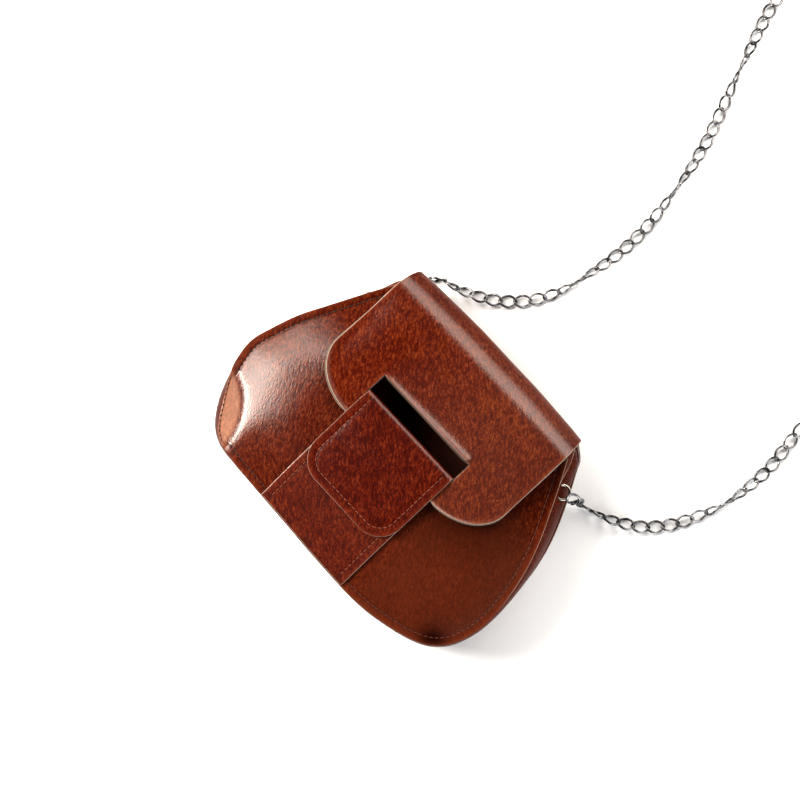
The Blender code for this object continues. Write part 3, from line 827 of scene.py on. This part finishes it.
def make_back_flap(materials, thread):
    """Back panel, fold and flap in one wall, with the slot through the flap."""
    columns = flap_columns()
    rows = back_and_fold_rows(columns)
    fold_end = len(rows)
    grid = np.array(rows + flap_rows(columns))
    x, y = grid[..., 0], grid[..., 1]
    on_flap = (np.arange(len(grid)) >= fold_end - FOLD_ROWS // 2)[:, None]
    distance = np.where(on_flap, line_distance(x, y, flap_outline()), 1.0)
    in_back = (np.arange(len(grid)) < fold_end - FOLD_ROWS)[:, None]
    distance = np.where(in_back, line_distance(x, y, BACK_LINE), distance)
    slot_gap = np.maximum(np.abs(x) - SLOT_HALF, np.maximum(y - SLOT_TOP_Y, SLOT_BOTTOM_Y - y))
    slot_distance = np.where(on_flap, np.maximum(slot_gap, 0.0), 1.0)
    seam = groove(distance, STITCH_INSET)
    seam = np.where(on_flap & (y < FOLD_CENTRE_Y - FLAP_SEAM_RUN), 0.0, seam)
    inner = smoothstep(np.minimum(distance, slot_distance) / RELIEF_RUN)
    relief = (uneven(grid, 11.0) - np.where(in_back, BACK_SHARE * UNEVEN, 0.0)) * inner
    depth = np.where(in_back, BACK_GROOVE_DEPTH, FLAP_GROOVE_DEPTH)
    grid += sheet_normals(grid) * (relief - depth * seam)[..., None]
    grid[..., 2] += np.where(on_flap, flap_curl(x, y, distance), 0.0)
    hole = np.zeros((len(grid) - 1, len(columns) - 1), dtype=bool)
    first = fold_end + FLAP_ROWS - 1
    middle = (columns[1:] + columns[:-1]) / 2
    hole[first:first + SLOT_ROWS] = np.abs(middle) < SLOT_SHARE
    marks = {"seam": seam, "edge": edge_mark(np.minimum(distance, slot_distance)),
             # the flap grows lighter toward its right side
             "pale": on_flap * FLAP_RIGHT_LIGHTENING * ramp(x, FLAP_RIGHT_LIGHTENING_ACROSS),
             "burnish": np.where(on_flap, SLOT_BURNISH * (slot_distance < distance), in_back),
             "matt": on_flap * FLAP_MATT * ramp(y, FLAP_MATT_UP) * ramp(x, FLAP_MATT_ACROSS)}
    under_strap = (slot_distance < 1e-5) & (np.abs(y - SLOT_BOTTOM_Y) < 1e-5)
    bevel = np.where(on_flap & ~under_strap, FLAP_BEVEL, 0.0)
    add_wall("back_flap_leather_wall", grid, materials, "back_flap", marks,
             hole=hole, bevel=bevel)
    line = seam_line(flap_outline(), STITCH_INSET, flap_z) - FLAP_GROOVE_DEPTH * UP
    below = FOLD_CENTRE_Y - line[:, 1]
    line = line[(below > 0.0) & (below < FLAP_SEAM_RUN)]
    for side, end in (("left", -1.0), ("right", 1.0)):
        add_stitches("flap_stitches_" + side, line[line[:, 0] * end > 0.0], UP, thread)
    back = seam_line(BACK_LINE, STITCH_INSET, lambda x, y: back_z(y)) + BACK_GROOVE_DEPTH * UP
    add_stitches("back_stitches", back, -UP, thread)


# Gusset


def gusset_points(line, normals, section_row):
    """Points of the gusset's wall beside each point of the outline, for one row of its section."""
    out, bulge, back_share, height_share = section_row
    drop = TOP_Y - line[:, 1]
    opening = SIDE_OPENING * ramp(drop, SIDE_OPENING_DROPS)
    tuck = TUCK_DEPTH * ramp(drop, TUCK_DROPS)
    swell = GUSSET_BULGE - np.where(line[:, 0] < 0.0, tuck, 0.0)
    narrow = mix(1.0, NECK_SHARE, smoothstep((OUTLINE[-1][1] * BODY_HEIGHT - drop) / GUSSET_REACH))
    offset = (out * FLANGE + bulge * swell + back_share * back_flare(*line.T) * narrow
              + height_share * opening)
    plane = line + normals * offset[:, None]
    low = back_z(plane[:, 1]) + GUSSET_DEPTH
    high = front_z(*plane.T) - GUSSET_DEPTH - opening
    return np.column_stack([plane, mix(low, high, height_share)])


def make_gusset(materials):
    """Side and bottom strip between the two panels, with a flange along each."""
    end = FRONT_LINE[-1] + unit(FRONT_LINE[-1] - FRONT_LINE[-2]) * GUSSET_REACH
    whole = np.concatenate([FRONT_LINE, [end]])
    line = along(whole, arc_lengths(whole)[-1] * shares(GUSSET_STATIONS))
    normals = outward(line)
    columns = spline([gusset_points(line, normals, row) for row in GUSSET_SECTION], SECTION_STEPS)
    rise = columns[..., 1] - FOLD_CENTRE_Y
    radius = FOLD_RADIUS - GUSSET_DEPTH
    room = np.sqrt(radius ** 2 - np.clip(rise, 0.0, 0.9 * radius) ** 2)
    folded = np.clip(columns[..., 2], FOLD_CENTRE_Z - room, FOLD_CENTRE_Z + room)
    columns[..., 2] = np.where(rise > 0.0, folded, columns[..., 2])
    inside = 1.0 - np.abs(np.linspace(-1.0, 1.0, len(columns)))[:, None]
    distance = 3 * FLANGE * inside + np.zeros(len(line))
    add_wall("gusset_leather_wall", columns, materials, "gusset",
             {"edge": edge_mark(distance)}, centred=True)


# Closure strap


def bottom_y(x):
    """Height on the bag of the sewn bottom edge at a place across it."""
    lower = FRONT_LINE[CORNERS[0]:CORNERS[1] + 1]
    return np.interp(x, lower[:, 0], lower[:, 1])


def tab_z(x, y):
    """Height of the tab's middle surface."""
    lip_end_y = TOP_Y - FLAP_LENGTH - LEATHER
    settle = smoothstep((lip_end_y - y) / TAB_SETTLE)
    return front_z(x, y) + 1.5 * LEATHER + 2 * GAP + (LEATHER + GAP) * (1.0 - settle)


def tab_outline():
    """Edge of the tab from its fold down its left side, round and up its right side."""
    angles = shares(39)[1:] * math.pi / 2
    drops = np.concatenate([TAB_STRAIGHT * shares(29), TAB_STRAIGHT + TAB_CORNER * np.sin(angles)])
    reach = np.concatenate([np.full(30, STRAP_HALF), tab_corner_half(angles)])
    return both_sides(reach, MOUTH_Y - drops)


def tab_corner_half(angle):
    """Half the tab's width at an angle round its corners."""
    return STRAP_HALF - TAB_CORNER * (1.0 - np.cos(angle))


def make_closure_strap(materials, thread):
    """Strap up the front panel, round the flap's lip and down again as a rounded tab."""
    columns = 2 * refined(STRAP_COLUMNS, 0.5) - 1
    x = columns * STRAP_HALF
    rows = []
    for share in refined(STRAP_ROWS, 0.3):
        y = mix(bottom_y(x) + STRAP_END_INSET, MOUTH_Y, share)
        rows.append([x, y, front_z(x, y) + GAP + LEATHER / 2])
    level = np.full_like(x, MOUTH_Y)
    bend_z = front_z(x, level) + GAP + LEATHER / 2 + STRAP_BEND_RADIUS
    for angle in math.pi * shares(STRAP_BEND_ROWS)[1:]:
        ease = TAB_EASE if angle > math.pi / 2 else 0.0
        rows.append([x, level - ease + (STRAP_BEND_RADIUS + ease) * math.sin(angle),
                     bend_z - STRAP_BEND_RADIUS * math.cos(angle)])
    gaps = [STRAP_HALF - np.abs(x)] * len(rows)
    spans = [(run, STRAP_HALF) for run in mix(TAB_EASE, TAB_STRAIGHT, shares(TAB_ROWS)[1:])]
    spans += [(TAB_STRAIGHT + TAB_CORNER * math.sin(angle), tab_corner_half(angle))
              for angle in math.pi / 2 * shares(TAB_CORNER_ROWS)[1:]]
    outline = tab_outline()
    for run, reach in spans:
        x = columns * reach
        y = np.full_like(x, MOUTH_Y - run)
        gap = line_distance(x, y, outline)
        puff = PILLOW * (1.0 - np.exp(-np.maximum(gap - TAB_STITCH_INSET, 0.0) / PILLOW_REACH))
        free = 1.0 - TAB_CURL_LOSS * ramp(x / STRAP_HALF, TAB_CURL_ACROSS)
        puff = puff + TAB_CURL_RISE * free * np.exp(-gap / TAB_CURL_REACH)
        rows.append([x, y, tab_z(x, y) + puff * smoothstep(run / TAB_PUFF_RUN)])
        gaps.append(gap)
    grid = np.moveaxis(np.array(rows), 1, 2)[:, ::-1]
    gap = np.array(gaps)[:, ::-1]
    seam = groove(gap, TAB_STITCH_INSET)
    order = np.arange(len(grid))[:, None]
    tab = order > STRAP_ROWS + STRAP_BEND_ROWS
    relief = uneven(grid, 23.0) * tab * smoothstep(gap / TAB_RELIEF_RUN)
    grid[..., 2] += relief - TAB_GROOVE_DEPTH * seam
    low = smoothstep((STRAP_ROWS * 0.6 - order) / 10.0) + 0.0 * gap
    marks = {"seam": seam, "edge": edge_mark(gap), "pale": STRAP_PALE * low}
    add_wall("closure_strap_leather", grid, materials, "closure_strap", marks,
             centred=True, bevel=np.where(tab, TAB_BEVEL, 0.0))
    line = seam_line(outline, TAB_STITCH_INSET, tab_z) + (LEATHER / 2 - TAB_GROOVE_DEPTH) * UP
    line = line[line[:, 1] < MOUTH_Y - TAB_SEAM_START]
    add_stitches("tab_stitches", line, UP, thread)
    for side, name in ((-1, "left"), (1, "right")):
        across = side * (STRAP_HALF - TAB_STITCH_INSET)
        y = mix(bottom_y(across) + STITCH_INSET, TOP_Y - FLAP_LENGTH, shares(59))
        x = np.full_like(y, across)
        line = np.column_stack([x, y, front_z(x, y) + GAP + LEATHER - TAB_GROOVE_DEPTH])
        add_stitches("strap_stitches_" + name, line, UP, thread)


# Rings and chain


def beside_ring(line, side):
    """Place in an outline's list of points that lies level with the ring on one side."""
    away = np.abs(line[:, 1] - TOP_Y + RING_DROP)
    return int(np.argmin(np.where(line[:, 0] * side > 0.0, away, BODY_HEIGHT)))


def ring_frame(side):
    """Matrix of a ring: its first axis leads out of the bag and its second lies along the side."""
    hang, row = RING_HANG[side]
    wall = gusset_points(FRONT_LINE, outward(FRONT_LINE), GUSSET_SECTION[row])
    wall = wall[beside_ring(FRONT_LINE, side)]
    level = Vector((side * math.cos(RING_TURN), math.sin(RING_TURN), 0.0))
    beside = Vector((-level.y, level.x, 0.0))
    out = level * math.cos(hang) - Vector((0.0, 0.0, math.sin(hang)))
    centre = Vector(wall) + out * (RING_RADIUS - RING_DEPTH)
    axes = Matrix((out, beside, out.cross(beside))).transposed()
    return Matrix.Translation(centre) @ axes.to_4x4()


def make_ring(name, side, metal):
    """Smooth ring in the place of one of the CAD's."""
    turns = around(RING_SEGMENTS)
    radial = np.column_stack([np.cos(turns), np.sin(turns), np.zeros_like(turns)])
    points = wire_points(RING_RADIUS * radial, radial, np.broadcast_to(UP, radial.shape),
                         RING_WIRE / 2, RING_SIDES)
    matrix = np.array(ring_frame(side))
    points = points @ matrix[:3, :3].T + matrix[:3, 3]
    faces = [face[::-1] for face in wire_faces(RING_SEGMENTS, RING_SIDES, 0, True)]
    add_piece(smooth_mesh(name + "_wire", points, faces, [metal]), name)


def chain_drop(side):
    """Points down the side of the bag: from inside the ring to just above the surface."""
    matrix = ring_frame(side)
    end = RING_RADIUS + RING_WIRE / 2 + GAP
    inside = matrix @ Vector((RING_RADIUS - RING_WIRE / 2 - LINK_WIRE / 2, 0.0, 0.0))
    turn = matrix @ Vector((end + CHAIN_RADIUS / 2, 0.0, 0.0))
    room = CHAIN_RADIUS + 2 * SEAM_GAP - (CHAIN_TUCK if side < 0 else 0.0)
    clear_x = side * (abs(BACK_LINE[beside_ring(BACK_LINE, side), 0]) + room)
    fall = [(mix(turn.x, clear_x, out), turn.y + out * CHAIN_RADIUS / 2,
             mix(CHAIN_RADIUS, turn.z, height)) for out, height in CHAIN_DROP]
    return [tuple(inside), tuple(turn)] + fall


def chain_line():
    """Middle line of the chain: down from the right ring, round its route, up to the left one."""
    route = [(across * BODY_WIDTH / 2, up * BODY_HEIGHT, CHAIN_RADIUS)
             for across, up in CHAIN_ROUTE]
    line = spline(chain_drop(1) + route + chain_drop(-1)[::-1], CHAIN_STEPS)
    line[:, 2] = np.maximum(line[:, 2], CHAIN_RADIUS)
    return line


def link_points():
    """Rings of points of one link: an oval of wire, twisted along its length."""
    turns = around(LINK_SEGMENTS)
    reach = (LINK_LENGTH - LINK_WIRE) / 2
    x = reach * np.cos(turns)
    width = (1.0 - LINK_POINT * np.cos(2 * turns)) / (1.0 + LINK_POINT)
    y = (LINK_WIDTH - LINK_WIRE) / 2 * np.sin(turns) * width
    twist = LINK_TWIST * x / reach
    line = np.column_stack([x, y * np.cos(twist), y * np.sin(twist)])
    tangent = unit(np.roll(line, -1, axis=0) - np.roll(line, 1, axis=0))
    flat = np.column_stack([np.zeros_like(x), -np.sin(twist), np.cos(twist)])
    points = wire_points(line, *square_to(tangent, flat), LINK_WIRE / 2, LINK_SIDES)
    return points.reshape(-1, 3)


def chain_roll(distance, total):
    """Turn of a link round the chain: edge on at its start, half a turn for each roll's run,
    longest where the links lie flat."""
    right = math.pi / 2 + math.pi * (distance - ROLL_START_RIGHT) / ROLL_RUN
    end = total - ROLL_START_LEFT
    left_turns = round((end - ROLL_START_RIGHT) / ROLL_RUN)
    left = math.pi / 2 + math.pi * left_turns - math.pi * max(end - distance, 0.0) / ROLL_RUN
    roll = mix(right, left, ramp(distance / total, ROLL_MEETING))
    return roll - ROLL_REST * math.sin(2 * roll) / 2


def make_chain(metal):
    """Links of the whole chain in one mesh, from ring to ring."""
    line = chain_line()
    total = arc_lengths(line)[-1]
    pitch = LINK_LENGTH - 2 * LINK_WIRE
    margin = (LINK_LENGTH - LINK_WIRE) / 2
    count = round((total - 2 * margin) / pitch) + 1
    template = link_points()
    points, faces = [], []
    for index in range(count):
        distance = mix(margin, total - margin, index / (count - 1))
        before, middle, after = along(line, distance + margin * 0.7 * np.array([-1.0, 0.0, 1.0]))
        tangent = unit(after - before)
        steep = ramp(abs(tangent[2]), STEEP)
        up = np.array([np.sign(middle[0] - CHAIN_PARTING) * steep, 0.0, 1.0 - steep])
        side, up = square_to(tangent, up)
        roll = chain_roll(distance, total)
        axes = np.array([tangent, side * math.cos(roll) + up * math.sin(roll),
                         up * math.cos(roll) - side * math.sin(roll)])
        link = template @ axes + middle
        low = link[:, 2].min()
        if low < LINK_LIFT or middle[2] < CHAIN_RADIUS * 1.05:
            link[:, 2] += LINK_LIFT - low
        faces += wire_faces(LINK_SEGMENTS, LINK_SIDES, index * len(template), True)
        points.append(link)
    links = smooth_mesh("shoulder_chain_links", points, faces, [metal])
    add_piece(links, "shoulder_chain")


# Materials


class Shader:
    """Short way to add linked nodes to a new material."""

    def __init__(self, name):
        self.material = bpy.data.materials.new(name)
        self.material.use_nodes = True
        self.tree = self.material.node_tree

    def put(self, socket, value):
        """Links a socket to another or gives it a value."""
        if isinstance(value, bpy.types.NodeSocket):
            self.tree.links.new(value, socket)
        else:
            socket.default_value = value

    def fill(self, item, inputs):
        """Sets the inputs of a node: numbers for their places, words for their names."""
        for key, value in inputs.items():
            self.put(item.inputs[key.replace("_", " ") if isinstance(key, str) else key], value)
        return item

    def add(self, kind, settings=None, **inputs):
        """Adds a node, sets its properties and its inputs, and returns it."""
        item = self.tree.nodes.new("ShaderNode" + kind)
        for key, value in (settings or {}).items():
            setattr(item, key, value)
        return self.fill(item, inputs)

    def math(self, operation, first, second, clamp=False):
        """Result of a sum of two sockets or numbers."""
        item = self.add("Math", {"operation": operation, "use_clamp": clamp})
        return self.fill(item, {0: first, 1: second}).outputs[0]

    def times(self, first, second, clamp=False):
        """Product of two sockets or numbers."""
        return self.math("MULTIPLY", first, second, clamp)

    def plus(self, first, second):
        """Sum of two sockets or numbers."""
        return self.math("ADD", first, second)

    def rest(self, value):
        """What a value leaves of one."""
        return self.math("SUBTRACT", 1.0, value)

    def ramp(self, value, stops):
        """Colours along a value: (place, colour)."""
        item = self.add("ValToRGB", Fac=value)
        elements = item.color_ramp.elements
        while len(elements) < len(stops):
            elements.new(0.5)
        for element, (position, color) in zip(elements, stops):
            element.position = position
            element.color = (*color, 1.0)
        return item.outputs["Color"]

    def blend(self, share, first, second, kind="MIX"):
        """Mix of a colour and another one, which may be a plain one of three numbers."""
        second = (*second, 1.0) if isinstance(second, tuple) else second
        item = self.add("Mix", {"data_type": "RGBA", "blend_type": kind})
        return self.fill(item, {0: share, 6: first, 7: second}).outputs[2]

    def coordinates(self, turn=0.0, stretch=1.0):
        """Object coordinates in which patterns are stretched along a way in the bag's plane."""
        source = self.add("TexCoord").outputs["Object"]
        mapping = self.add("Mapping", {"vector_type": "TEXTURE"}, Vector=source,
                           Rotation=(0.0, 0.0, math.radians(turn)), Scale=(stretch, 1.0, 1.0))
        return mapping.outputs[0]

    def noise(self, coordinates, scale, detail=3.0, output="Fac", **inputs):
        """Soft random pattern."""
        item = self.add("TexNoise", Vector=coordinates, Scale=scale, Detail=detail, **inputs)
        return item.outputs[output]

    def bump(self, strength, distance, height):
        """Relief of a pattern."""
        item = self.add("Bump", Strength=strength, Distance=distance, Height=height)
        return item.outputs["Normal"]

    def mark(self, name):
        """A value stored on the mesh."""
        return self.add("Attribute", {"attribute_name": name}).outputs["Fac"]

    def surface(self, **inputs):
        """The material, with its surface's inputs set."""
        self.fill(self.tree.nodes["Principled BSDF"], inputs)
        return self.material


def leather(name, deep, middle, light, grain_turn, shine=1.0):
    """Glossy leather with a fine pebbled grain, darker in its creases and worn at its edges, with
    painted shade and painted light where its marks ask for them.
    """
    shader = Shader(name)
    times, plus, rest, mark = shader.times, shader.plus, shader.rest, shader.mark
    plain = shader.coordinates()
    bent = shader.fill(shader.add("VectorMath", {"operation": "MULTIPLY_ADD"}), {
        0: shader.noise(plain, 190.0, 2.0, "Color"), 1: (0.0045, 0.0045, 0.0045),
        2: shader.coordinates(grain_turn, 3.0)})
    pebbles = shader.add("TexVoronoi", {"feature": "SMOOTH_F1"}, Vector=bent.outputs[0],
                         Scale=1060.0, Smoothness=0.4, Randomness=1.0).outputs["Distance"]
    wrinkles = shader.noise(shader.coordinates(grain_turn + 12.0, 2.4), 760.0, Roughness=0.6,
                            Distortion=0.6)
    smooth = mark("smooth")
    height = plus(times(pebbles, -0.42), times(wrinkles, 0.82))
    height = times(height, rest(times(smooth, 0.35)))
    tone = plus(height, times(smooth, 0.05))
    for scale, share in ((24.0, 0.16), (95.0, 0.12)):
        tone = plus(tone, times(plus(shader.noise(plain, scale, 2.0), -0.5), share))
    color = shader.ramp(tone, ((0.08, deep), (0.24, middle), (0.44, light)))
    dull = tuple(0.6 * low + 0.4 * high for low, high in zip(middle, (0.10, 0.042, 0.020)))
    color = shader.blend(times(smooth, 0.45), color, dull)
    # Paler colour where the pale mark is: painted light on the front panel's bent corner, and a
    # lighter tone on the flap's right side and on the strap's low part
    pale_tone_and_painted_light = shader.blend(1.0, color, (1.6, 2.9, 3.8), "MULTIPLY")
    pale_tone_and_painted_light = shader.blend(0.32, pale_tone_and_painted_light, (0.45, 0.29, 0.22))
    color = shader.blend(mark("pale"), color, pale_tone_and_painted_light)
    dark = tuple(value * 0.25 for value in deep)
    worn = tuple(value * 1.5 + 0.02 for value in light)
    # The first mark darkens the colour with painted shade (round the front panel's dent and beside
    # the flap's edge); seams darken and worn edges lighten
    for trace, share, over in (("painted_shade", 1.1, dark), ("seam", 0.3, dark), ("edge", 0.3, worn)):
        color = shader.blend(times(mark(trace), share, True), color, over)
    facing = shader.add("LayerWeight", Blend=0.5).outputs["Facing"]
    gloss = shader.math("SUBTRACT", 1.25 * shine, times(facing, 3.0 * shine), True)
    gloss = times(gloss, rest(times(mark("painted_shade"), 1.2, True)))
    gloss = times(gloss, rest(mark("matt")))
    return shader.surface(
        Base_Color=color, Roughness=plus(times(wrinkles, 0.16), 0.26), IOR=1.45,
        Specular_IOR_Level=0.04, Coat_Weight=gloss, Coat_IOR=1.6, Coat_Roughness=0.22,
        Normal=shader.bump(0.55, 0.0003, height), Coat_Normal=shader.bump(0.38, 0.0003, height))


def cut_edge(name, pale, tan):
    """Raw cut edge of leather, with its fibres."""
    shader = Shader(name)
    fibres = shader.noise(shader.coordinates(), 900.0)
    color = shader.ramp(fibres, ((0.2, tan), (0.75, pale)))
    color = shader.blend(shader.mark("burnish"), color, (0.06, 0.012, 0.004))
    return shader.surface(Base_Color=color, Roughness=0.75, Normal=shader.bump(0.4, 0.0002, fibres))


def plain_cloth(name, low, high, scale, roughness):
    """Mottled dull surface: lining, glue, thread, and the near-black discs that paint the stitch
    holes' shade.
    """
    shader = Shader(name)
    fibres = shader.noise(shader.coordinates(), scale)
    color = shader.ramp(fibres, ((0.3, low), (0.7, high)))
    return shader.surface(Base_Color=color, Roughness=roughness,
                          Normal=shader.bump(0.35, 0.0002, fibres))


def metal(name, low, high):
    """Polished wire with faint scratches and tarnish."""
    shader = Shader(name)
    scratches = shader.noise(shader.coordinates(35.0, 6.0), 900.0)
    color = shader.ramp(shader.noise(shader.coordinates(), 160.0, 2.0), ((0.35, low), (0.6, high)))
    roughness = shader.plus(shader.times(scratches, 0.18), 0.14)
    return shader.surface(Base_Color=color, Metallic=1.0, Roughness=roughness,
                          Normal=shader.bump(0.15, 0.0001, scratches))


# Surface, lights and camera


def make_floor():
    """Pale plain surface."""
    bpy.ops.mesh.primitive_plane_add(size=6.0, location=(0.0, 0.0, 0.0))
    floor = bpy.context.object
    floor.name = "floor"
    floor.data.materials.append(Shader("pale_floor").surface(
        Base_Color=(0.92, 0.94, 0.97, 1.0), Roughness=0.9, Specular_IOR_Level=0.1))


def add_light(name, azimuth, tilt, distance, size, radiance, color=(1.0, 0.93, 0.84)):
    """Soft light that looks at the bag from a tilt off straight above.

    azimuth 0 is on the bag's right and 90 beyond its fold.
    """
    azimuth, tilt = math.radians(azimuth), math.radians(tilt)
    away = Vector((math.cos(azimuth) * math.sin(tilt), math.sin(azimuth) * math.sin(tilt),
                   math.cos(tilt)))
    light = bpy.data.lights.new(name, "AREA")
    light.shape = "RECTANGLE"
    light.size, light.size_y = size
    light.color = color
    light.energy = radiance * math.pi * size[0] * size[1]
    item = bpy.data.objects.new(name, light)
    item.location = away * distance
    item.rotation_euler = away.to_track_quat("Z", "Y").to_euler()
    bpy.context.scene.collection.objects.link(item)


def make_lights():
    """Soft window light from beyond the bag's left side and fold, and a pale room."""
    add_light("window_left", 203.0, 48.0, 1.1, (0.62, 0.52), 14.0)
    add_light("window_beyond", 168.0, 47.0, 1.1, (0.40, 0.40), 7.0)
    add_light("window_near", 198.0, 31.0, 1.1, (0.40, 0.22), 4.2)
    add_light("window_core", 218.0, 61.0, 1.1, (0.40, 0.22), 44.0)
    add_light("window_fold", 90.0, 57.0, 1.2, (1.5, 0.80), 5.5)
    add_light("fill", 348.0, 72.0, 1.2, (1.3, 0.6), 7.0, (1.0, 1.0, 1.0))
    world = bpy.data.worlds.new("room")
    world.use_nodes = True
    background = world.node_tree.nodes["Background"].inputs
    background["Color"].default_value = (1.0, 1.0, 1.0, 1.0)
    background["Strength"].default_value = 0.025
    scene = bpy.context.scene
    scene.world = world
    scene.view_settings.view_transform = "Standard"
    scene.view_settings.gamma = 0.85


def make_camera():
    """Camera nearly straight above, turned as the photographer held it."""
    away = Vector((math.sin(CAMERA_AZIMUTH) * math.cos(CAMERA_ELEVATION),
                   math.sin(CAMERA_ELEVATION),
                   math.cos(CAMERA_AZIMUTH) * math.cos(CAMERA_ELEVATION)))
    right = Vector((0.0, 1.0, 0.0)).cross(away).normalized()
    axes = Matrix((right, away.cross(right), away)).transposed()
    axes = axes @ Matrix.Rotation(CAMERA_ROLL, 3, "Z")
    camera = bpy.data.objects.new("camera", bpy.data.cameras.new("camera"))
    camera.matrix_world = Matrix.Translation(away * CAMERA_DISTANCE) @ axes.to_4x4()
    camera.data.sensor_width = 36.0
    camera.data.lens = CAMERA_LENS
    camera.data.shift_x, camera.data.shift_y = CAMERA_SHIFT
    bpy.context.scene.collection.objects.link(camera)
    bpy.context.scene.camera = camera


def main():
    """Makes the whole scene."""
    make_camera()
    make_lights()
    make_floor()
    edge = cut_edge("cut_edge", (0.33, 0.27, 0.225), (0.20, 0.15, 0.11))
    glue = plain_cloth("glue_line", (0.012, 0.008, 0.007), (0.03, 0.02, 0.015), 900.0, 0.7)
    lining = plain_cloth("dark_lining", (0.11, 0.022, 0.011), (0.16, 0.036, 0.018), 700.0, 0.9)
    # near-black discs at the stitch holes: painted shade
    hole = plain_cloth("stitch_hole_shade", (0.008, 0.002, 0.001), (0.02, 0.004, 0.002), 900.0, 0.9)
    thread = plain_cloth("thread", (0.14, 0.028, 0.010), (0.28, 0.08, 0.035), 2500.0, 0.5)
    dark_thread = plain_cloth("dark_thread", (0.07, 0.008, 0.002), (0.15, 0.026, 0.008), 2500.0,
                              0.5)
    flap = leather("flap_leather", (0.052, 0.0040, 0.0006), (0.100, 0.0120, 0.0018),
                   (0.172, 0.036, 0.0095), 124.0)
    front = leather("panel_leather", (0.046, 0.0040, 0.0006), (0.090, 0.0115, 0.0018),
                    (0.155, 0.034, 0.009), 118.0)
    side = leather("side_leather", (0.034, 0.0035, 0.0007), (0.066, 0.009, 0.002),
                   (0.10, 0.020, 0.006), 60.0, 0.12)
    strap = leather("strap_leather", (0.042, 0.0024, 0.0004), (0.084, 0.0070, 0.0010),
                    (0.145, 0.024, 0.0050), 128.0, 0.75)
    wire = metal("ring_wire", (0.20, 0.19, 0.17), (0.46, 0.44, 0.40))
    links = metal("chain_wire", (0.05, 0.05, 0.055), (0.22, 0.22, 0.23))
    make_front_panel((front, lining, edge, glue), (dark_thread, hole))
    make_back_flap((flap, lining, edge, glue), (dark_thread, hole))
    make_gusset((side, lining, edge, glue))
    make_closure_strap((strap, strap, edge, glue), (thread, hole))
    make_ring("ring_left", -1, wire)
    make_ring("ring_right", 1, wire)
    make_chain(links)


main()
